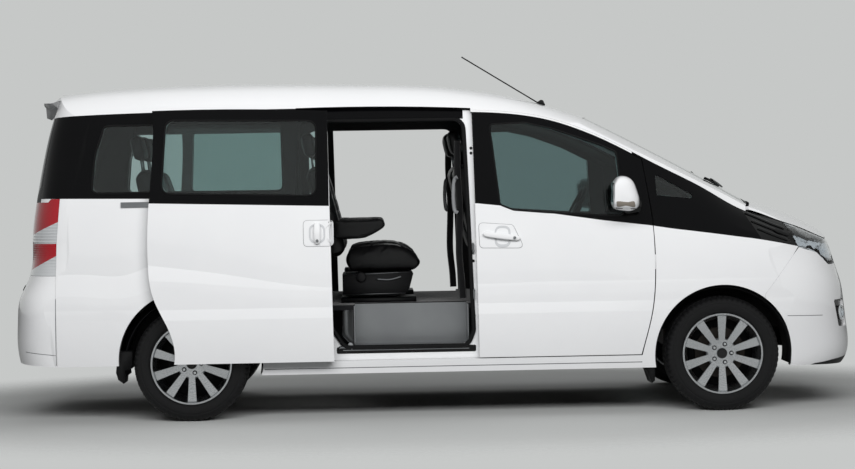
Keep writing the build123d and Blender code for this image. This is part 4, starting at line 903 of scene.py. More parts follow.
def disc(bm: BMesh, centre: Vector, profile: list[Point2], segments: int, side: int,
         phase: float = 0.0) -> None:
    """Solid turned piece whose profile starts and ends on the axis.

    Args:
        bm: where the faces go.
        centre: a point on the axis.
        profile: (radius, outward distance) corners in metres between the two poles.
        segments: steps of the turn.
        side: -1 for the right and 1 for the left.
        phase: turn of the first segment in radians.
    """
    rings = []
    for radius, out in profile[1:-1]:
        rings.append([bm.verts.new(centre
                                   + Vector((radius * math.cos(phase + 2 * math.pi * i / segments),
                                             side * out,
                                             radius * math.sin(phase + 2 * math.pi * i / segments))))
                      for i in range(segments)])
    first = bm.verts.new(centre + Vector((0.0, side * profile[0][1], 0.0)))
    last = bm.verts.new(centre + Vector((0.0, side * profile[-1][1], 0.0)))
    for i in range(segments):
        j = (i + 1) % segments
        bm.faces.new((first, rings[0][i], rings[0][j]))
        bm.faces.new((last, rings[-1][j], rings[-1][i]))
        for low, high in zip(rings, rings[1:]):
            bm.faces.new((low[i], high[i], high[j], low[j]))


def turned(bm: BMesh, at: Vector, facing: Vector, profile: list[Point2], segments: int) -> None:
    """Turned piece whose axis points along facing.

    Args:
        bm: where the faces go.
        at: where its axis starts.
        facing: direction of the axis.
        profile: (radius, outward distance) corners in metres between the two poles.
        segments: steps of the turn.
    """
    turn = Vector((0, 1, 0)).rotation_difference(facing).to_matrix()
    before = len(bm.verts)
    disc(bm, Vector(), profile, segments, 1)
    bm.verts.ensure_lookup_table()
    for v in bm.verts[before:]:
        v.co = turn @ v.co + at


@dataclass(frozen=True)
class Corner:
    """One wheel's place: its bodies' name ending, centre and side."""

    name: str
    centre: Vector
    side: int

    @property
    def body(self) -> str:
        """Body that turns with this wheel."""
        return f"wheel_{self.name}"


@dataclass
class Tyre:
    """Road tyre with a ribbed, siped tread and a stepped sidewall."""

    radius: float = 0.345
    half_width: float = 0.116
    bead: float = 0.2433
    pitches: int = 64               # how often the tread repeats round the tyre
    steps: int = 6                  # segments in one repeat
    notch: float = 0.0052           # depth of the shoulder's notches
    sipe: float = 0.0035            # depth of the cuts in the ribs

    def profile(self) -> list[Point2]:
        """Closed (radius, outward) section, grooves in the tread included."""
        r, w, b = self.radius, self.half_width, self.bead
        outer = [(b, w - 0.024), (b + 0.004, w - 0.015), (b + 0.010, w - 0.009), (b + 0.018, w - 0.0035),
                 (b + 0.021, w - 0.0035), (b + 0.024, w - 0.0015), (r - 0.058, w), (r - 0.050, w - 0.0006),
                 (r - 0.048, w - 0.0026), (r - 0.040, w - 0.0040), (r - 0.038, w - 0.0030),
                 (r - 0.026, w - 0.0085), (r - 0.021, w - 0.0105), (r - 0.0135, w - 0.0165),
                 (r - 0.0055, w - 0.029), (r - 0.0032, w - 0.036)]
        grooves: list[Point2] = []
        for place in (0.062, 0.022):
            grooves += [(r - 0.0006, place + 0.0055), (r - 0.0075, place + 0.0035),
                        (r - 0.0075, place - 0.0035), (r - 0.0003, place - 0.0055)]
        right = outer + grooves + [(r, 0.008)]
        return right + [(radius, -out) for radius, out in reversed(right)]

    def build(self, corner: Corner) -> Object:
        """Make the tyre.

        Args:
            corner: the wheel's place.

        Returns:
            The tyre, on its wheel's body.
        """
        profile = self.profile()
        shoulder = {k for k, (radius, out) in enumerate(profile) if abs(out) > 0.066
                    and radius > self.radius - 0.024}
        rib = {k for k, (radius, out) in enumerate(profile) if 0.016 < abs(out) < 0.069
               and radius > self.radius - 0.003}

        def tread(segment: int, k: int, radius: float) -> float:
            step = segment % self.steps
            if k in shoulder and step in (0, 1):
                return radius - self.notch
            if k in rib and step == 3:
                return radius - self.sipe
            return radius

        bm = bmesh.new()
        revolve(bm, corner.centre, profile, self.pitches * self.steps, corner.side, tread)
        obj = bm_object(f"tyre_{corner.name}_tread", bm)
        add_modifier(obj, "EDGE_SPLIT", split_angle=math.radians(38))
        apply_modifiers(obj)
        return settle(obj, TYRE_RUBBER, corner.body, nodes=(f"tyre_{corner.name}",))


@dataclass
class WheelTrim:
    """What is fastened to a wheel: nuts in wells of near-black painted shade, a plain centre cap and a dark
    backing.
    """

    nut_circle: float = 0.0572
    nut_count: int = 5
    hub_face: float = 0.066         # hub's outer face, measured from the wheel's middle plane
    cap_radius: float = 0.031

    def build(self, corner: Corner) -> None:
        """Make the trim of one wheel.

        Args:
            corner: the wheel's place.
        """
        nuts, wells = bmesh.new(), bmesh.new()
        for i in range(self.nut_count):
            angle = 2 * math.pi * i / self.nut_count
            at = corner.centre + Vector((math.cos(angle), 0.0, math.sin(angle))) * self.nut_circle
            face = self.hub_face
            disc(wells, at, [(0, face - 0.004), (0.0142, face - 0.004), (0.0142, face + 0.0009),
                             (0.0128, face + 0.0013), (0.0118, face + 0.0006), (0, face + 0.0006)], 28,
                 corner.side)
            disc(nuts, at, [(0, face), (0.0092, face), (0.0092, face + 0.0055), (0.0078, face + 0.0085),
                            (0.0034, face + 0.0092), (0, face + 0.0084)], 6, corner.side, angle)
        # The wells are near-black discs of painted shade round each nut.
        add_piece(f"lug_wells_{corner.name}", wells, WHEEL_SHADOW, corner.body)
        add_piece(f"lug_nuts_{corner.name}", nuts, CHROME, corner.body, smooth=False)
        cap = bmesh.new()
        face, r = self.hub_face, self.cap_radius
        disc(cap, corner.centre, [(0, face), (r, face), (r, face + 0.0072), (r - 0.0016, face + 0.0092),
                                  (r - 0.005, face + 0.0085), (r - 0.0066, face + 0.0068),
                                  (r - 0.013, face + 0.0082), (0, face + 0.0092)], 56, corner.side)
        add_piece(f"centre_cap_{corner.name}", cap, WHEEL_SHADOW, corner.body)
        back = bmesh.new()
        disc(back, corner.centre, [(0, -0.062), (0.205, -0.062), (0.208, -0.058), (0.205, -0.055),
                                   (0, -0.052)], 72, corner.side)
        add_piece(f"brake_shield_{corner.name}", back, CHASSIS_BLACK, self.carrier(corner))

    @staticmethod
    def carrier(corner: Corner) -> str:
        """Body that carries the brake of a wheel."""
        if corner.name.startswith("front"):
            return "knuckle_left" if corner.side > 0 else "knuckle_right"
        return "body"


def corners() -> list[Corner]:
    """The four wheels' places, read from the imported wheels."""
    out = []
    for name in ("front_right", "front_left", "rear_right", "rear_left"):
        low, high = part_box(f"tyre_{name}")
        middle = (Vector(low) + Vector(high)) / 2
        out.append(Corner(name, middle, -1 if middle.y < 0 else 1))
    return out


def grown(points: list[Point2], distance: float) -> list[Point2]:
    """Closed outline moved outwards by a distance, inwards where it is negative."""
    area = sum(a[0] * b[1] - b[0] * a[1] for a, b in zip(points, points[1:] + points[:1]))
    turn = 1.0 if area > 0 else -1.0
    out = []
    for i, p in enumerate(points):
        before, after = Vector(points[i - 1]), Vector(points[(i + 1) % len(points)])
        along = (after - before).normalized()
        out.append((p[0] + along.y * distance * turn, p[1] - along.x * distance * turn))
    return out


def box_profile(width: float, height: float, rise: float = 0.0, corner: float = 0.25) -> list[Point2]:
    """Flat bar's section with chamfered upper corners, its foot at -rise below the surface."""
    w, c = width / 2, height * corner
    return [(-w, -rise), (-w, height - c), (-w + c, height), (w - c, height), (w, height - c), (w, -rise)]


@dataclass
class SideTrim:
    """Strips, seals and seams laid on the body's sides."""

    skin: Skin
    name: str
    finish: Finish
    body: str
    profile: list[Point2]
    closed: bool = True
    step: float = 14.0

    def build(self, lines: list[list[Point2]], sides: tuple[int, ...] = (-1, 1)) -> Object:
        """Sweep the profile along lines on the body's sides.

        Args:
            lines: outlines as (station, height) points in millimetres.
            sides: the sides that get them.

        Returns:
            One joined piece.
        """
        bm = bmesh.new()
        for line in lines:
            for side in sides:
                points, normals = self.skin.along_side(resample(line, self.step, self.closed), side)
                if len(points) > 2:
                    sweep(bm, points, normals, self.profile, self.closed)
        return add_piece(self.name, bm, self.finish, self.body)


def slab(bm: BMesh, skin: Skin, outline: list[Point2], side: int, low: float, high: float,
         dish: float = 0.0) -> None:
    """Plate over an outline on the body's side, its rim chamfered and its middle dished or crowned.

    Args:
        bm: where the faces go.
        skin: the surface it lies on.
        outline: closed (station, height) points in millimetres.
        side: -1 for the right side and 1 for the left.
        low: depth of its foot under the skin in metres, as a negative number.
        high: how far its face stands out, in metres.
        dish: extra height of the middle in metres, negative for a hollow.
    """
    cx = sum(p[0] for p in outline) / len(outline)
    cz = sum(p[1] for p in outline) / len(outline)
    rings = []
    for share, out in ((1.0, low), (1.0, high * 0.6), (0.97, high), (0.93, high + dish * 0.12),
                       (0.8, high + dish * 0.6), (0.5, high + dish * 0.95)):
        ring = []
        for x, z in outline:
            found = skin.side(cx + (x - cx) * share, cz + (z - cz) * share, side)
            if found is None:
                found = (point(cx + (x - cx) * share, side * 930, cz + (z - cz) * share),
                         Vector((0, side, 0)))
            ring.append(bm.verts.new(found[0] + found[1] * out))
        rings.append(ring)
    loft(bm, rings)


def side_prism(bm: BMesh, outline: list[Point2], stops: list[tuple[float, float]],
               hold: float | None = None) -> None:
    """Closed form from an outline seen from the side, its section scaled from stop to stop across the van.

    Args:
        bm: where the faces go.
        outline: closed (station, height) points in millimetres.
        stops: (Y in metres, scale of the section) from one end to the other.
        hold: station that keeps its place while the section is scaled, or None for the middle.
    """
    cx = sum(p[0] for p in outline) / len(outline) if hold is None else hold
    cz = sum(p[1] for p in outline) / len(outline)
    start = len(bm.faces)
    rings = [[bm.verts.new(point(cx + (x - cx) * share, y / MM, cz + (z - cz) * share)) for x, z in outline]
             for y, share in stops]
    loft(bm, rings)
    bm.faces.ensure_lookup_table()
    bmesh.ops.recalc_face_normals(bm, faces=bm.faces[start:])


@dataclass
class PullHandle:
    """Door handle: a bowed grip on two feet over a dished oval cup, in a seamed plate."""

    recess: list[Point2]
    cup: list[Point2]
    start: Point2
    end: Point2
    height: float = 0.036
    standoff: float = 0.034
    thickness: float = 0.015

    def build(self, skin: Skin, name: str, body: str, sides: tuple[int, ...]) -> None:
        """Make the handle's plate, grip and lock.

        Args:
            skin: the door's skin.
            name: name ending of the pieces.
            body: the body they ride on.
            sides: the sides that get one.
        """
        plate, shade, grip, lock, seam = (bmesh.new() for _ in range(5))
        for side in sides:
            outline = rounded_outline(self.recess, 26.0, 7)
            slab(plate, skin, outline, side, -0.002, 0.0016)
            # The cup is grey paint standing for painted shade in its hollow.
            slab(shade, skin, rounded_outline(self.cup, 44.0, 7), side, 0.0, 0.0026, -0.0016)
            # The seam round the plate is a grey strip of painted shade.
            around, outwards = skin.along_side(resample(outline, 10.0, True), side)
            if len(around) > 2:
                sweep(seam, around, outwards, round_profile(0.0030, 0.0026, 6), True)
            self.grip(grip, skin, side)
            x = self.end[0] - 0.16 * (self.end[0] - self.start[0])
            z = self.end[1] - 0.16 * (self.end[1] - self.start[1])
            found = skin.side(x, z, side)
            if found:
                disc(lock, found[0] + found[1] * (self.standoff - 0.001),
                     [(0, 0.0), (0.0085, 0.0), (0.0085, 0.0022), (0.007, 0.003), (0.0018, 0.003),
                      (0, 0.0026)], 26, side)
        add_piece(f"handle_plate_{name}", plate, WHITE_PAINT, body)
        add_piece(f"handle_cup_{name}", shade, CUP_PAINTED_SHADE, body)
        add_piece(f"handle_seam_{name}", seam, SEAM_PAINTED_SHADE, body)
        obj = bm_object(f"handle_grip_{name}", grip)
        add_modifier(obj, "SUBSURF", levels=2, render_levels=2)
        apply_modifiers(obj)
        settle(obj, WHITE_PAINT, body)
        add_piece(f"handle_lock_{name}", lock, BARE_STEEL, body)

    def grip(self, bm: BMesh, skin: Skin, side: int) -> None:
        """Add the bowed grip: thick feet at both ends and a slimmer middle."""
        rings = []
        count = 14
        for i in range(count + 1):
            t = i / count
            x = self.start[0] + (self.end[0] - self.start[0]) * t
            z = self.start[1] + (self.end[1] - self.start[1]) * t
            found = skin.side(x, z, side)
            if found is None:
                return
            base, normal = found
            along = point(self.end[0], 0, self.end[1]) - point(self.start[0], 0, self.start[1])
            across = along.normalized().cross(normal).normalized()
            bow = math.sin(math.pi * t)
            top = self.standoff * (0.62 + 0.38 * bow)
            foot = 0.0 if t < 0.13 or t > 0.87 else top - self.thickness
            half = self.height / 2 * (0.86 + 0.14 * bow) * (0.55 if i in (0, count) else 1.0)
            corners_ = [(-half, foot), (-half, top - 0.005), (-half + 0.006, top), (half - 0.006, top),
                        (half, top - 0.005), (half, foot)]
            rings.append([bm.verts.new(base + across * a + normal * o) for a, o in corners_])
        loft(bm, rings)


@dataclass
class Mirror:
    """Door mirror: a rounded housing on a foot, its glass, indicator strip and cup line."""

    housing: list[Point2] = field(default_factory=lambda: [(934, 1236), (934, 1295), (935, 1375), (946, 1404),
                                                           (968, 1425), (1005, 1428), (1042, 1412),
                                                           (1066, 1380), (1084, 1328), (1094, 1289),
                                                           (1090, 1240), (1045, 1214), (987, 1218)])
    foot: list[Point2] = field(default_factory=lambda: [(1117, 1284), (1116, 1211), (1090, 1207),
                                                        (1045, 1199), (1010, 1206), (1000, 1262)])
    indicator: list[Point2] = field(default_factory=lambda: [(943, 1277), (1053, 1275), (1061, 1240),
                                                             (948, 1245)])
    stops: tuple[Point2, ...] = ((0.962, 0.70), (0.970, 0.84), (0.990, 0.96), (1.030, 1.0), (1.080, 0.97),
                                 (1.112, 0.87), (1.132, 0.70), (1.141, 0.45))   # distance out and size there
    glass: tuple[Point2, ...] = ((-0.070, -0.062), (0.070, -0.062), (0.064, 0.072), (-0.060, 0.078))
    glass_middle: Point2 = (1.046, 1.312)
    glass_station: float = 934.0

    def build(self) -> None:
        """Make both mirrors."""
        for side, name in ((-1, "right"), (1, "left")):
            body = f"front_door_{name}"
            shell = bmesh.new()
            side_prism(shell, smooth_loop(self.housing, 3), [(side * y, k) for y, k in self.stops], 936.0)
            housing = bm_object(f"mirror_housing_{name}", shell)
            add_modifier(housing, "SUBSURF", levels=1, render_levels=1)
            apply_modifiers(housing)
            settle(housing, WHITE_PAINT, body, nodes=(f"door_mirror_{name}",))
            foot = bmesh.new()
            side_prism(foot, smooth_loop(self.foot, 3),
                       [(side * 0.905, 1.0), (side * 0.930, 0.98), (side * 0.985, 0.80)])
            add_piece(f"mirror_foot_{name}", foot, GLOSS_PLASTIC, body)
            glass, rim = bmesh.new(), bmesh.new()
            outline, (cy, cz) = rounded_outline(list(self.glass), 0.03, 6), self.glass_middle
            rear = self.glass_station * MM + STATION
            for bm, grow, out, depth in ((rim, 1.0, 0.0012, 0.008), (glass, 0.93, 0.0022, 0.0)):
                front, back = ([bm.verts.new((at, side * (cy + u * grow), cz + v * grow)) for u, v in outline]
                               for at in (rear - out, rear + depth))
                loft(bm, [front, back])
            add_piece(f"mirror_rim_{name}", rim, GLOSS_PLASTIC, body)
            add_piece(f"mirror_glass_{name}", glass, SILVERED, body)
            lamp, dark = bmesh.new(), bmesh.new()
            skin = Skin({housing.name: housing}, [housing.name])
            slab(lamp, skin, rounded_outline(self.indicator, 9, 4), side, -0.002, 0.0020, 0.0006)
            slab(dark, skin, rounded_outline([(942, 1240), (948, 1232), (1066, 1226), (1066, 1234)], 3, 3),
                 side, -0.002, 0.0012)
            add_piece(f"mirror_indicator_{name}", lamp, INDICATOR_LENS, body)
            add_piece(f"mirror_cup_line_{name}", dark, GLOSS_PLASTIC, body)


def smooth_loop(points: list[Point2], steps: int = 4) -> list[Point2]:
    """Closed Catmull-Rom curve through (station, height) points."""
    out: list[Point2] = []
    count = len(points)
    for i in range(count):
        p0, p1, p2, p3 = (Vector(points[(i + k) % count]) for k in (-1, 0, 1, 2))
        for k in range(steps):
            t = k / steps
            q = ((p1 * 2) + (p2 - p0) * t + (p0 * 2 - p1 * 5 + p2 * 4 - p3) * t**2
                 + (p1 * 3 - p0 - p2 * 3 + p3) * t**3) * 0.5
            out.append((q.x, q.y))
    return out


@dataclass
class Arches:
    """Black wheel-arch liners, the mudflaps, the roof's rear lip and thin seams."""

    nodes: dict[str, Object]
    hub: float = 1600.0             # station of the front hubs, and of the rear ones behind the middle
    hub_height: float = 0.345
    ahead: float = 0.418            # liner's reach from the hub
    behind: float = 0.398
    high: float = 0.396
    wall: float = 0.005
    inner: float = 0.630            # liner's inner and outer edges from the middle
    outer_front: float = 0.892
    outer_rear: float = 0.880

    def build(self) -> None:
        """Make the liners, flaps, lip and seams."""
        self.liners()
        self.flaps()
        self.rear_lip()
        self.seams()

    def liners(self) -> None:
        """Moulded shells round the upper part of each wheel."""
        bm = bmesh.new()
        for hub, outer in ((self.hub, self.outer_front), (-self.hub, self.outer_rear)):
            for side in (-1, 1):
                rings = []
                for y, add in ((self.inner, 0.0), (outer, 0.0), (outer, self.wall), (self.inner, self.wall)):
                    ring = []
                    for k in range(49):
                        angle = math.radians(-10.0 + 200.0 * k / 48)
                        reach = (self.ahead if math.cos(angle) > 0 else self.behind) + add
                        height = self.hub_height + (self.high + add) * math.sin(angle)
                        ring.append(bm.verts.new((hub * MM + STATION + reach * math.cos(angle), side * y,
                                                  height)))
                    rings.append(ring)
                loft(bm, [list(section) for section in zip(*rings)])
        add_piece("arch_liners", bm, CHASSIS_BLACK, "body")

    def rear_lip(self) -> None:
        """Raised lip along the roof's rear edge."""
        bm = bmesh.new()
        skin = Skin(self.nodes, ["roof"])
        profile = [(-2300, -3), (-2350, 2), (-2400, 6), (-2452, 9), (-2486, 8), (-2500, -2), (-2500, -26),
                   (-2470, -40)]
        rings = []
        for k in range(41):
            y = -700.0 + 35.0 * k
            ease = max(0.0, 1.0 - (abs(y) / 700.0) ** 6)
            ring = []
            for station, rise in profile:
                found = skin.hit(Vector((max(station, -2440) * MM + STATION, y * MM, 2.6)),
                                 Vector((0, 0, -1)))
                base = found[0].z if found else 1.93
                ring.append(bm.verts.new((station * MM + STATION + 0.02 * (1 - ease), y * MM,
                                          base + rise * MM * ease)))
            rings.append(ring)
        loft(bm, rings)
        add_piece("roof_rear_lip", bm, WHITE_PAINT, "body")

    def flaps(self) -> None:
        """Mudflaps behind the wheels."""
        bm = bmesh.new()
        for outline in ([(1176, 376), (1195, 366), (1190, 187), (1171, 171), (1145, 247), (1095, 282),
                         (1096, 300)], [(-2038, 429), (-1957, 427), (-1951, 404), (-1959, 323), (-2000, 313),
                                        (-2008, 232), (-2041, 257), (-2054, 300)]):
            for side in (-1, 1):
                side_prism(bm, outline, [(side * 0.690, 0.96), (side * 0.696, 1.0), (side * 0.897, 1.0),
                                         (side * 0.903, 0.96)])
        add_piece("mudflap_mouldings", bm, GRAINED_PLASTIC, "body", nodes=("mudflaps",))

    def seams(self) -> None:
        """Thin shut lines on the bumpers and the sills, as grey strips of painted shade."""
        front = SideTrim(Skin(self.nodes, ["front_bumper"]), "front_bumper_seams", SEAM_PAINTED_SHADE, "body",
                         round_profile(0.0040, 0.0024, 6), False, 12.0)
        front.build([[(1996, 566), (2223, 561)]])
        rear = SideTrim(Skin(self.nodes, ["rear_bumper"]), "rear_bumper_seams", SEAM_PAINTED_SHADE, "body",
                        round_profile(0.0040, 0.0024, 6), False, 12.0)
        rear.build([[(-2396, 880), (-2404, 352)], [(-2596, 433), (-2060, 376)]])
        sill = SideTrim(Skin(self.nodes, ["side_frame_right", "side_frame_left"]), "sill_grooves", SEAM_PAINTED_SHADE,
                        "body", round_profile(0.0050, 0.0024, 6), False, 20.0)
        sill.build([[(1150, 305), (-1160, 305)]])


# Body paint greyed as painted shade for the hollow of a handle's cup.
CUP_PAINTED_SHADE = Finish("painted_recess_shade", "paint", "CFD1D3", "C4C6C9", 0.4, pattern_mm=7.0, depth_mm=0.012,
                  coat=0.6)
# A shut line seen from outside: paint greyed as painted shade in the gap.
SEAM_PAINTED_SHADE = Finish("shadowed_panel_seam", "trim", "6C6E71", "5E6063", 0.6, pattern_mm=12.0, depth_mm=0.01)
# Smoked acrylic over a silver strip.
INDICATOR_LENS = Finish("smoked_clear_indicator", "glass", "8E8478", "6E6860", 0.12, Pattern.LENS, 6.0, 0.3,
                        coat=0.9)
# Woven polyester webbing: matt with a fine rib.
BELT_WEB = Finish("woven_belt_webbing", "trim", "0A0A0C", "101012", 0.75, Pattern.CARPET, 1.3, 0.25,
                  sheen=0.25)
# Moulded ABS in pale grey, lightly grained.
GREY_PLASTIC = Finish("pale_grey_abs", "trim", "8F9193", "858789", 0.45, Pattern.GRAINED, 1.8, 0.08)
# Stove-enamelled aluminium sheet, left blank.
PLATE_WHITE = Finish("blank_plate_enamel", "paint", "DADBD8", "D2D3D0", 0.4, pattern_mm=90.0, depth_mm=0.02)


def bar(bm: BMesh, path: list[Vector], width: float, height: float, up: Vector, sides: int = 8) -> None:
    """Oval bar along a path, its width lying across up."""
    normals = [up.normalized()] * len(path)
    sweep(bm, path, normals, round_profile(width, height, sides), False)


def smooth_path(points: list[Vector], steps: int = 6) -> list[Vector]:
    """Catmull-Rom curve through the given points."""
    out: list[Vector] = []
    for i in range(len(points) - 1):
        p0 = points[max(0, i - 1)]
        p1, p2 = points[i], points[i + 1]
        p3 = points[min(len(points) - 1, i + 2)]
        for k in range(steps):
            t = k / steps
            out.append(((p1 * 2) + (p2 - p0) * t + (p0 * 2 - p1 * 5 + p2 * 4 - p3) * t**2
                        + (p1 * 3 - p0 - p2 * 3 + p3) * t**3) * 0.5)
    return out + [points[-1]]


@dataclass
class Doorway:
    """Side doorway's seal, step plate, lower rail, belt, striker and grab handle."""

    skin: Skin

    def build(self) -> None:
        """Make what is fitted in both side doorways."""
        seal = SideTrim(self.skin, "doorway_seal", RUBBER, "body", round_profile(0.026, 0.024, 10, -0.006),
                        step=10.0)
        seal.build([rounded_outline(grown(DOORWAY, 12.0), 70.0, 8)])
        self.step_plates()
        self.rails()
        self.pillar_fittings()

    def step_plates(self) -> None:
        """Pressed brushed plates on the step risers, with a raised border and a bead."""
        bm = bmesh.new()
        for side in (-1, 1):
            outline = rounded_outline([(-698, 663), (81, 663), (81, 480), (20, 414), (-640, 414),
                                       (-698, 480)], 34.0, 6)
            cx, cz = -308.0, 545.0
            rings = []
            for share, out in ((1.0, 0.0), (1.0, 0.004), (0.985, 0.0070), (0.90, 0.0070), (0.87, 0.0036),
                               (0.72, 0.0036), (0.70, 0.0052), (0.64, 0.0052), (0.62, 0.0036), (0.3, 0.0036)):
                rings.append([bm.verts.new(((cx + (x - cx) * share) * MM + STATION, side * (0.6405 + out),
                                            (cz + (z - cz) * share) * MM)) for x, z in outline])
            loft(bm, rings)
        add_piece("step_plates", bm, BRUSHED, "body")

    def rails(self) -> None:
        """Lower slide channels with their lips and covers, roller brackets and rollers."""
        rail, bracket, rollers, channel = (bmesh.new() for _ in range(4))
        for side in (-1, 1):
            y = side * 872
            cover = rounded_outline([(-728, 426), (112, 426), (112, 386), (-728, 386)], 10, 4)
            slab(channel, self.skin, cover, side, -0.002, 0.0020)
            path = [point(x, y, 412) for x in range(-690, 100, 40)]
            lip = [(-0.016, -0.008), (-0.016, 0.010), (-0.012, 0.010), (-0.012, -0.004), (0.012, -0.004),
                   (0.012, 0.010), (0.016, 0.010), (0.016, -0.008)]
            sweep(rail, path, [Vector((0, 0, 1))] * len(path), lip, False)
            block = [point(-714, y + side * 14, 424), point(-674, y + side * 16, 426),
                     point(-634, y + side * 18, 418)]
            bar(bracket, smooth_path(block, 4), 0.030, 0.018, Vector((0, 0, 1)), 8)
            for x in (-688, -645):
                at = point(x, y + side * 12, 438)
                ring = [(0, -0.007), (0.013, -0.007), (0.015, -0.003), (0.015, 0.003), (0.013, 0.007),
                        (0, 0.007)]
                disc(rollers, at, ring, 24, side)
        add_piece("slide_channels", rail, BARE_STEEL, "body", smooth=False)
        add_piece("slide_channel_covers", channel, GRAINED_PLASTIC, "body")
        add_piece("slide_brackets", bracket, BARE_STEEL, "body")
        add_piece("slide_rollers", rollers, GREY_PLASTIC, "body")

    def pillar_fittings(self) -> None:
        """Seat belt, grab handle, striker and pillar slots at the centre pillars."""
        belt, grab, metal, slots = bmesh.new(), bmesh.new(), bmesh.new(), bmesh.new()
        for side in (-1, 1):
            y = side * 742
            web = smooth_path([point(28, y, 1660), point(24, y + side * 6, 1500),
                               point(34, y + side * 10, 1250), point(26, y + side * 8, 980),
                               point(40, y + side * 4, 800), point(44, y, 700)], 7)
            bar(belt, web, 0.046, 0.0022, Vector((0.35, side, 0)), 6)
            hand = smooth_path([point(22, side * 778, 1438), point(4, side * 752, 1420),
                                point(-4, side * 748, 1330), point(2, side * 752, 1240),
                                point(20, side * 778, 1222)], 6)
            bar(grab, hand, 0.024, 0.020, Vector((0, side, 0)), 10)
            for z in (975, 700):
                found = self.skin.side(104, z, side)
                if found:
                    loop = smooth_path([found[0], found[0] + found[1] * 0.018 + Vector((0, 0, 0.012)),
                                        found[0] + found[1] * 0.018 + Vector((0, 0, 0.05)),
                                        found[0] + Vector((0, 0, 0.062))], 5)
                    bar(metal, loop, 0.011, 0.011, Vector((1, 0, 0)), 10)
            for z in (1620, 1590, 1000, 940, 760, 610):
                slot = rounded_outline([(96, z), (112, z), (112, z - 17), (96, z - 17)], 5, 3)
                slab(slots, self.skin, slot, side, -0.001, 0.0012)
        add_piece("seat_belts", belt, BELT_WEB, "body")
        add_piece("grab_handles", grab, GREY_PLASTIC, "body")
        add_piece("door_strikers", metal, BARE_STEEL, "body")
        add_piece("pillar_slots", slots, RUBBER, "body")


@dataclass
class Lamps:
    """Headlamp lenses with silvered bowls, fog lamps and the vents' bright edges."""

    nodes: dict[str, Object]

    def build(self) -> None:
        """Make the lamps' lenses, housings and bowls."""
        self.headlamps()
        self.fog_lamps()
        self.vent_edges()

    def outer_faces(self, name: str, depth: float) -> BMesh:
        """Copy of a lamp node's outward faces, moved inwards by a depth.

        Args:
            name: the node.
            depth: how far in, in metres.

        Returns:
            The open surface.
        """
        bm = bmesh.new()
        bm.from_mesh(self.nodes[name].data)
        bm.normal_update()
        inner = []
        for face in bm.faces:
            centre = face.calc_center_median()
            away = Vector((0.55, math.copysign(0.75, centre.y), 0.35)).normalized()
            if face.normal.dot(away) < 0.25:
                inner.append(face)
        bmesh.ops.delete(bm, geom=inner, context="FACES")
        bmesh.ops.remove_doubles(bm, verts=bm.verts, dist=0.00002)
        bm.normal_update()
        if depth:
            moves = {v: v.normal.copy() for v in bm.verts}
            for v, normal in moves.items():
                v.co -= normal * depth
        return bm

    def headlamps(self) -> None:
        """Clear lens over a silvered housing with two round bowls and their projector lenses."""
        lens = bm_object_open("headlamp_lens", self.outer_faces("headlamps", 0.0))
        add_modifier(lens, "SOLIDIFY", thickness=0.003, offset=-1.0)
        apply_modifiers(lens)
        settle(lens, CLEAR_LENS, "body", nodes=("headlamps",))
        housing = bm_object_open("headlamp_housing", self.outer_faces("headlamps", 0.034))
        add_modifier(housing, "SOLIDIFY", thickness=0.004, offset=-1.0)
        apply_modifiers(housing)
        settle(housing, SILVERED, "body")
        bowls, rings = bmesh.new(), bmesh.new()
        for side in (-1, 1):
            for station, y, z, r in ((2268, 690, 948, 0.046), (2318, 560, 938, 0.050)):
                at = point(station, side * y, z)
                facing = Vector((0.82, side * 0.52, 0.2)).normalized()
                for bm, profile in ((bowls, [(0, -0.026), (r * 0.45, -0.024), (r * 0.8, -0.014), (r, 0.004),
                                             (r, 0.007), (r * 0.75, -0.009), (r * 0.4, -0.019),
                                             (0, -0.0215)]),
                                    (rings, [(0, -0.018), (r * 0.3, -0.018), (r * 0.34, 0.0),
                                             (r * 0.2, 0.009), (0, 0.011)])):
                    turned(bm, at, facing, profile, 40)
        add_piece("headlamp_bowls", bowls, CHROME, "body")
        add_piece("headlamp_projectors", rings, CLEAR_LENS, "body")

    def fog_lamps(self) -> None:
        """Round fog lamp glasses with a bright bowl."""
        glass, bowl = bmesh.new(), bmesh.new()
        skin = Skin(self.nodes, ["fog_lamps"])
        for side in (-1, 1):
            origin = Vector((3.2, side * 0.700, 0.566))
            found = skin.hit(origin, Vector((-1, 0, 0)))
            if not found:
                continue
            facing = (found[1] + Vector((0.15, side * 0.1, 0))).normalized()
            for bm, profile in ((bowl, [(0, 0.0005), (0.036, 0.0005), (0.043, 0.006), (0.0465, 0.0062),
                                        (0.0475, -0.004), (0, -0.004)]),
                                (glass, [(0, 0.0012), (0.0405, 0.0012), (0.0405, 0.0045), (0.03, 0.0105),
                                         (0.015, 0.0135), (0, 0.0145)])):
                turned(bm, found[0], facing, profile, 44)
        add_piece("fog_lamp_bowls", bowl, SILVERED, "body")
        add_piece("fog_lamp_glasses", glass, CLEAR_LENS, "body")

    def vent_edges(self) -> None:
        """Slats and a bright edge on the gill vents behind the headlamps."""
        skin = Skin(self.nodes, ["gill_vents"])
        slats = [[(1770, 1190), (1840, 1160), (1930, 1118), (2002, 1090)],
                 [(1800, 1142), (1880, 1108), (1960, 1074), (2022, 1050)],
                 [(1832, 1096), (1905, 1064), (1975, 1036), (2036, 1014)]]
        silver = SideTrim(skin, "gill_vent_edges", BARE_STEEL, "body", round_profile(0.006, 0.006, 8), False,
                          12.0)
        silver.build([slats[0], slats[1]])
        fins = SideTrim(skin, "gill_vent_slats", GLOSS_PLASTIC, "body", box_profile(0.020, 0.007, 0.002),
                        False, 12.0)
        fins.build(slats)


def bm_object_open(name: str, bm: BMesh) -> Object:
    """Object from an open surface whose face directions are kept."""
    mesh = bpy.data.meshes.new(name)
    bm.to_mesh(mesh)
    bm.free()
    mesh.shade_smooth()
    return link_mesh(name, mesh)


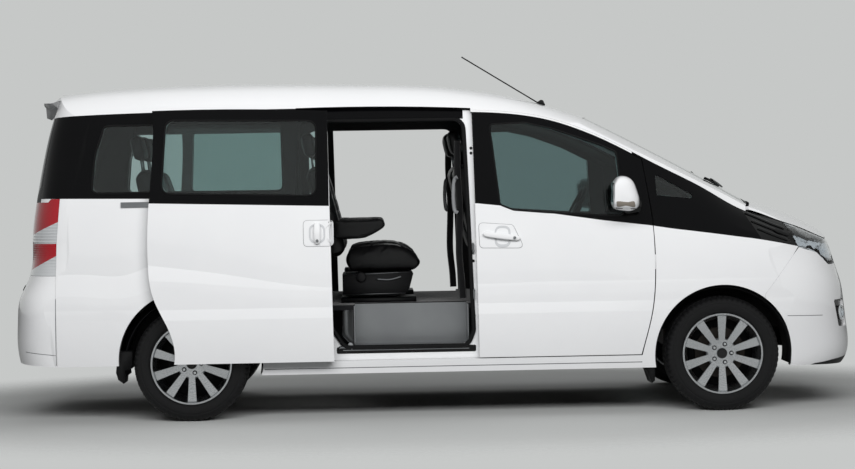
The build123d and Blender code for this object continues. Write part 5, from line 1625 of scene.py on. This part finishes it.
@dataclass
class Plates:
    """Blank number plates, tailgate handle bar and grip, high lamp and bumper step pad."""

    nodes: dict[str, Object]

    def build(self) -> None:
        """Make what is fitted at the nose and the tail."""
        self.plate("front_plate", Skin(self.nodes, ["front_bumper"]), 1, 700.0, 0.26, 0.055, PLATE_WHITE,
                   "body")
        self.plate("rear_plate", Skin(self.nodes, ["tailgate"]), -1, 985.0, 0.26, 0.055, PLATE_WHITE,
                   "tailgate")
        self.plate("tailgate_bar", Skin(self.nodes, ["tailgate"]), -1, 1085.0, 0.40, 0.016, CHROME,
                   "tailgate")
        self.plate("tailgate_grip", Skin(self.nodes, ["tailgate"]), -1, 1056.0, 0.11, 0.010, RUBBER,
                   "tailgate")
        self.plate("high_brake_lamp", Skin(self.nodes, ["tailgate"]), -1, 1826.0, 0.16, 0.011, RED_LENS,
                   "tailgate")
        self.plate("bumper_step_pad", Skin(self.nodes, ["rear_bumper"]), -1, 800.0, 0.52, 0.014,
                   GRAINED_PLASTIC, "body")

    def plate(self, name: str, skin: Skin, way: int, height: float, half_width: float, half_height: float,
              finish: Finish, body: str) -> None:
        """Thin plate laid on the nose or tail.

        Args:
            name: the piece's name.
            skin: what it lies on.
            way: 1 at the nose and -1 at the tail.
            height: height of its middle in millimetres.
            half_width: half its width in metres.
            half_height: half its height in metres.
            finish: its finish.
            body: body it rides on.
        """
        bm = bmesh.new()
        corner_radius = min(half_height * 0.5, 0.012)
        outline = rounded_outline([(-half_width, -half_height), (half_width, -half_height),
                                   (half_width, half_height), (-half_width, half_height)], corner_radius, 4)
        outline = resample(outline, 0.05, True)
        rings = []
        for share, out in ((1.0, -0.004), (1.0, 0.004), (0.985, 0.006), (0.93, 0.006), (0.90, 0.0048),
                           (0.45, 0.0048)):
            ring = []
            for u, v in outline:
                scale = 1.0 - (1.0 - share) * (half_height / half_width)
                y, z = u * scale, height * MM + v * share
                found = skin.hit(Vector((way * 3.4, y, z)), Vector((-way, 0, 0)))
                if found is None:
                    LOG.info("no skin under %s", name)
                    bm.free()
                    return
                ring.append(bm.verts.new(found[0] + found[1] * out))
            rings.append(ring)
        loft(bm, rings)
        add_piece(name, bm, finish, body)


@dataclass
class Wipers:
    """Two windscreen wipers and the antenna's foot."""

    nodes: dict[str, Object]

    def build(self) -> None:
        """Make the wipers and the antenna's foot."""
        screen = Skin(self.nodes, ["windscreen", "cowl"])
        arms, blades = bmesh.new(), bmesh.new()
        for foot, tip in (((1742, -80, 1290), (1560, -560, 1450)), ((1742, 420, 1290), (1560, -30, 1450))):
            path, normals = [], []
            for k in range(15):
                t = k / 14
                x, y = foot[0] + (tip[0] - foot[0]) * t, foot[1] + (tip[1] - foot[1]) * t
                found = screen.hit(Vector((x * MM + STATION, y * MM, 2.4)), Vector((0, 0, -1)))
                if found:
                    path.append(found[0] + found[1] * 0.012)
                    normals.append(found[1])
            if len(path) < 4:
                continue
            sweep(blades, path[2:], normals[2:], box_profile(0.009, 0.006, 0.010), False)
            sweep(arms, path[:10], normals[:10], box_profile(0.018, 0.014, -0.004), False)
        add_piece("wiper_blades", blades, RUBBER, "body")
        add_piece("wiper_arms", arms, GLOSS_PLASTIC, "body")
        roof = Skin(self.nodes, ["roof"])
        found = roof.hit(Vector((0.555 + STATION, -0.55, 2.5)), Vector((0, 0, -1)))
        if found:
            base = bmesh.new()
            ring = [(0.0, -0.004), (0.026, -0.004), (0.027, 0.006), (0.019, 0.014), (0.009, 0.026),
                    (0.0, 0.028)]
            turned(base, found[0], found[1], ring, 28)
            add_piece("antenna_foot", base, RUBBER, "body")


class Pad(Enum):
    """The pads that a seat is made of."""

    CUSHION = "cushion"
    BACK = "back"
    HEAD = "head"
    ARM = "arm"


@dataclass
class PadShape:
    """One leather pad, inflated by a short cloth simulation.

    size is its depth, width and height before it swells, in metres. For a back its depth is its thickness.
    """

    kind: Pad
    size: tuple[float, float, float]
    crown: float
    bolster: float
    roundness: float
    cap: float = 0.012
    voxel: float = 0.008
    seams: tuple[float, ...] = ()

    def make(self) -> bpy.types.Mesh:
        """Build, inflate and crease the pad about the origin, its base on Z = 0.

        Returns:
            The finished mesh.
        """
        obj = self.cage()
        self.inflate(obj)
        self.crease(obj)
        mesh = obj.data
        mesh.shade_smooth()
        bpy.data.objects.remove(obj)
        return mesh

    def cage(self) -> Object:
        """Crowned, rounded block remeshed evenly."""
        bm = bmesh.new()
        bmesh.ops.create_cube(bm, size=2.0)
        bmesh.ops.subdivide_edges(bm, edges=bm.edges, cuts=15, use_grid_fill=True)
        half = Vector(self.size) / 2
        for v in bm.verts:
            x, y, z = v.co
            ball = Vector((x * math.sqrt(1 - y * y / 2 - z * z / 2 + y * y * z * z / 3),
                           y * math.sqrt(1 - z * z / 2 - x * x / 2 + z * z * x * x / 3),
                           z * math.sqrt(1 - x * x / 2 - y * y / 2 + x * x * y * y / 3)))
            p = v.co.lerp(ball, self.roundness)
            place = Vector((p.x * half.x, p.y * half.y, p.z * half.z + half.z))
            if self.kind is Pad.BACK:
                front = max(0.0, x)
                place.x += front * (self.crown * (1 - y * y) * (1 - z * z) + self.bolster * self.side_roll(y))
                place.y *= 1 - 0.10 * max(0.0, z) ** 2
            else:
                top = max(0.0, z)
                place.z += top * (self.crown * (1 - x * x) * (1 - y * y) + self.bolster * self.side_roll(y))
                if self.kind is Pad.CUSHION:
                    place.z -= 0.040 * max(0.0, x) ** 3 * (1 + z) / 2
                if self.kind is Pad.ARM:
                    place.z += 0.055 * max(0.0, x) ** 1.5 * (1 - z) / 2
            v.co = place
        obj = bm_object(f"pad_{self.kind.value}", bm)
        remesh = obj.modifiers.new("remesh", "REMESH")
        remesh.mode = "VOXEL"
        remesh.voxel_size = self.voxel * 1.0
        smooth = obj.modifiers.new("smooth", "SMOOTH")
        smooth.factor = 0.5
        smooth.iterations = 3
        apply_modifiers(obj)
        return obj

    @staticmethod
    def side_roll(y: float) -> float:
        """Share of the bolster's height across the pad: none in the middle, full near the sides."""
        share = min(1.0, max(0.0, (abs(y) - 0.52) / 0.25))
        fall = min(1.0, max(0.0, (1.0 - abs(y)) / 0.14))
        return share * share * (3 - 2 * share) * fall

    def inflate(self, obj: Object) -> None:
        """Swell the pad with cloth pressure, each point held within the cap.

        Args:
            obj: the pad, changed in place.
        """
        start = [v.co.copy() for v in obj.data.vertices]
        cloth = obj.modifiers.new("cloth", "CLOTH")
        settings = cloth.settings
        settings.quality = 4
        settings.use_pressure = True
        settings.uniform_pressure_force = 4.0
        settings.effector_weights.gravity = 0.0
        settings.tension_stiffness = 12.0
        settings.compression_stiffness = 12.0
        settings.bending_stiffness = 0.6
        scene = bpy.context.scene
        for frame in range(1, 21):
            scene.frame_set(frame)
        apply_modifiers(obj)
        scene.frame_set(1)
        for v, origin in zip(obj.data.vertices, start):
            move = v.co - origin
            if move.length > self.cap:
                v.co = origin + move.normalized() * self.cap

    def crease(self, obj: Object) -> None:
        """Draw the surface in along the sewn lines.

        Args:
            obj: the pad, changed in place.
        """
        width = self.size[1] / 2
        height = self.size[2]
        for v in obj.data.vertices:
            dent = 0.0
            for place in self.seams:
                near = (abs(v.co.y) - width * place) / 0.011
                dent = max(dent, math.exp(-near * near))
            if self.kind is Pad.BACK:
                cross = min(abs(v.co.z - height * share) for share in (0.30, 0.68)) / 0.011
                inside = 1.0 if abs(v.co.y) < width * self.seams[0] else 0.0
                dent = max(dent, inside * math.exp(-cross * cross))
                if v.co.x > 0:
                    v.co.x -= 0.0075 * dent
            elif self.kind is Pad.CUSHION:
                cross = min(abs(v.co.x - place) for place in (-0.07, 0.12)) / 0.011
                inside = 1.0 if abs(v.co.y) < width * self.seams[0] else 0.0
                dent = max(dent, inside * math.exp(-cross * cross))
                if v.co.z > height * 0.55:
                    v.co.z -= 0.0075 * dent


SEAT_PADS = {Pad.CUSHION: PadShape(Pad.CUSHION, (0.486, 0.462, 0.116), 0.030, 0.020, 0.34, seams=(0.60,)),
             Pad.BACK: PadShape(Pad.BACK, (0.098, 0.442, 0.602), 0.004, 0.010, 0.30, seams=(0.60,)),
             Pad.HEAD: PadShape(Pad.HEAD, (0.074, 0.236, 0.154), 0.002, 0.0, 0.42, cap=0.007, voxel=0.007),
             Pad.ARM: PadShape(Pad.ARM, (0.330, 0.056, 0.118), 0.002, 0.0, 0.34, cap=0.005, voxel=0.006),}


@dataclass(frozen=True)
class SeatPlace:
    """One seat's place: station of its hip point and Y in millimetres, its width scale and its armrests."""

    station: float
    y: float
    scale: float = 1.0
    arms: bool = False


@dataclass
class SeatRow:
    """Row of leather seats that stands for one node of plain seats."""

    node: str
    places: list[SeatPlace]
    shield: tuple[Point2, ...] = ((-190, 853), (-13, 862), (232, 866), (246, 852), (222, 764), (200, 730),
                                  (154, 720), (-190, 724))
    tilt: float = 14.0
    head_tilt: float = 12.0
    cushion_top: float = 1.000

    def matrix(self, kind: Pad, place: SeatPlace, side: int = 0) -> Matrix:
        """Placement of one pad.

        Args:
            kind: the pad.
            place: its seat.
            side: which armrest, -1 or 1.

        Returns:
            The pad's matrix.
        """
        hip = point(place.station, place.y, 0.0)
        if kind is Pad.CUSHION:
            move = Matrix.Translation((hip.x + 0.062, hip.y, self.cushion_top - 0.123))
            return move @ Matrix.Diagonal((1, place.scale, 1, 1))
        if kind is Pad.BACK:
            lean = Matrix.Rotation(math.radians(-self.tilt), 4, "Y")
            move = Matrix.Translation((hip.x - 0.215, hip.y, self.cushion_top - 0.060))
            return move @ lean @ Matrix.Translation((0, 0, 0.008)) @ Matrix.Diagonal((1, place.scale, 1, 1))
        if kind is Pad.HEAD:
            lean = Matrix.Rotation(math.radians(-self.head_tilt), 4, "Y")
            return Matrix.Translation((hip.x - 0.372, hip.y, self.cushion_top + 0.580)) @ lean
        offset = side * (0.240 * place.scale + 0.034)
        return Matrix.Translation((hip.x - 0.086, hip.y + offset, self.cushion_top + 0.072))

    def build(self, meshes: dict[Pad, bpy.types.Mesh]) -> None:
        """Place the pads, seams, plinths and posts of the row.

        Args:
            meshes: the finished pad meshes.
        """
        for kind in Pad:
            bm = bmesh.new()
            for place in self.places:
                sides = (-1, 1) if kind is Pad.ARM else (0,)
                if kind is Pad.ARM and not place.arms:
                    continue
                for side in sides:
                    mesh = meshes[kind].copy()
                    mesh.transform(self.matrix(kind, place, side))
                    bm.from_mesh(mesh)
                    bpy.data.meshes.remove(mesh)
            if not bm.verts:
                bm.free()
                continue
            obj = bm_object(f"{self.node}_{kind.value}", bm)
            settle(obj, LEATHER, "body", nodes=(self.node,))
        self.seams(meshes)
        self.plinths()

    def seams(self, meshes: dict[Pad, bpy.types.Mesh]) -> None:
        """Lay a twin line of stitches along the cushions' and backs' sewn lines.

        Args:
            meshes: the finished pad meshes.
        """
        bm = bmesh.new()
        for kind in (Pad.CUSHION, Pad.BACK):
            mesh = meshes[kind]
            tree = BVHTree.FromPolygons([v.co.copy() for v in mesh.vertices],
                                        [tuple(p.vertices) for p in mesh.polygons])
            shape = SEAT_PADS[kind]
            for place in self.places:
                matrix = self.matrix(kind, place)
                for line in (-1, 1):
                    y = line * shape.size[1] / 2 * shape.seams[0] + line * 0.007
                    path, normals = [], []
                    for k in range(34):
                        t = k / 33
                        if kind is Pad.CUSHION:
                            ray = (Vector((-0.2 + 0.42 * t, y, 0.4)), Vector((0, 0, -1)))
                        else:
                            ray = (Vector((0.4, y, 0.05 + 0.51 * t)), Vector((-1, 0, 0)))
                        place_, normal, _, _ = tree.ray_cast(*ray)
                        if place_:
                            path.append(matrix @ (place_ + normal * 0.0004))
                            normals.append((matrix.to_3x3() @ normal).normalized())
                    if len(path) > 3:
                        sweep(bm, path, normals, round_profile(0.0022, 0.0016, 5), False)
        add_piece(f"{self.node}_stitches", bm, STITCH, "body")

    def plinths(self) -> None:
        """Flared plastic plinths with slide rails, recline knobs and head rest posts."""
        shell_, metal, knob = bmesh.new(), bmesh.new(), bmesh.new()
        for place in self.places:
            hip = point(place.station, place.y, 0.0)
            half = (0.240 * place.scale) - 0.060
            outline = [(place.station + dx, z) for dx, z in self.shield]
            low, high = hip.y - half - 0.024, hip.y + half + 0.024
            side_prism(shell_, outline, [(low, 0.985), (low + 0.004, 1.0), (high - 0.004, 1.0),
                                         (high, 0.985)])
            runner = [(place.station + dx, z) for dx, z in ((-200, 680), (262, 680), (262, 704), (-200, 704))]
            side_prism(shell_, runner, [(low + 0.004, 1.0), (high - 0.004, 1.0)])
            for side in (-1, 1):
                rim = hip.y + side * (half + 0.0245)
                for dx_a, z_a, dx_b, z_b in ((-0.188, 0.850, 0.232, 0.862), (-0.186, 0.729, 0.196, 0.733)):
                    edge = [Vector((hip.x + dx_a, rim, z_a)), Vector((hip.x + dx_b, rim, z_b))]
                    bar(metal, edge, 0.004, 0.003, Vector((0, side, 0)), 6)
                post = [Vector((hip.x - 0.362, hip.y + side * 0.055, 1.50)),
                        Vector((hip.x - 0.374, hip.y + side * 0.055, 1.60))]
                bar(metal, post, 0.011, 0.011, Vector((1, 0, 0)), 12)
                outer = hip.y + side * (half + 0.024)
                disc(knob, Vector((hip.x - 0.075, outer, 0.835)),
                     [(0, -0.004), (0.030, -0.004), (0.032, 0.006), (0.024, 0.013), (0, 0.014)], 28, side)
                lever = smooth_path([Vector((hip.x + 0.02, outer, 0.822)),
                                     Vector((hip.x + 0.10, outer + side * 0.006, 0.818)),
                                     Vector((hip.x + 0.17, outer + side * 0.006, 0.835))], 5)
                bar(metal, lever, 0.010, 0.014, Vector((0, side, 0)), 8)
        add_piece(f"{self.node}_plinths", shell_, GRAINED_PLASTIC, "body", nodes=(self.node,))
        add_piece(f"{self.node}_rails", metal, BARE_STEEL, "body")
        add_piece(f"{self.node}_knobs", knob, GRAINED_PLASTIC, "body")


def build_seats() -> None:
    """Inflate the pads once and place them in every row."""
    meshes = {kind: shape.make() for kind, shape in SEAT_PADS.items()}
    rows = [SeatRow("captain_seats", [SeatPlace(-500, 430, arms=True), SeatPlace(-500, -430, arms=True)]),
            SeatRow("front_seats", [SeatPlace(410, 400, 1.08), SeatPlace(410, -400, 1.08)]),
            SeatRow("rear_bench", [SeatPlace(-1560, y, 0.80) for y in (-380, 0, 380)]),]
    for row in rows:
        row.build(meshes)


def build_pieces(nodes: dict[str, Object]) -> None:
    """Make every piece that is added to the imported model.

    Args:
        nodes: node name to its object.
    """
    for corner in corners():
        Tyre().build(corner)
        WheelTrim().build(corner)
    front = Skin(nodes, ["front_door_right", "front_door_left", "door_glass_right", "door_glass_left"])
    slide = Skin(nodes, ["sliding_doors", "sliding_door_glass"])
    frame = Skin(nodes, ["side_frame_right", "side_frame_left", "fixed_side_glass"])
    for side, name in ((-1, "right"), (1, "left")):
        body = f"front_door_{name}"
        seal = SideTrim(front, f"door_glass_seal_{name}", RUBBER, body,
                        round_profile(0.011, 0.007, 8, -0.001))
        seal.build([rounded_outline(grown(FRONT_GLASS, 4.0), 26.0, 6)], (side,))
        handle = PullHandle([(137, 1162), (343, 1146), (410, 1005), (141, 1010)],
                            [(232, 1142), (328, 1142), (328, 1011), (232, 1011)], (160, 1094), (386, 1062))
        handle.build(front, name, body, (side,))
    SideTrim(slide, "slide_glass_seal", RUBBER, "body",
             round_profile(0.011, 0.007, 8,
                           -0.001)).build([rounded_outline(grown(SLIDE_GLASS, 4.0), 58.0, 8)])
    PullHandle([(-911, 1195), (-733, 1195), (-733, 1040), (-911, 1040)],
               [(-878, 1174), (-781, 1174), (-781, 1058), (-878, 1058)], (-829, 1182), (-829, 1052),
               0.040).build(slide, "sliding", "body", (-1, 1))
    SideTrim(frame, "quarter_glass_seal", RUBBER, "body",
             round_profile(0.012, 0.008, 8,
                           -0.001)).build([rounded_outline(grown(QUARTER_GLASS, 3.0), 41.0, 6)])
    Mirror().build()
    Arches(nodes).build()
    Doorway(frame).build()
    Lamps(nodes).build()
    Plates(nodes).build()
    Wipers(nodes).build()
    build_seats()


def main() -> None:
    """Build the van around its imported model."""
    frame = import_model()
    nodes = frame["nodes"]
    bpy.context.scene.view_settings.view_transform = "Standard"
    dress_nodes(nodes)
    build_pieces(nodes)
    Studio().build()


if __name__ == "__main__":
    main()
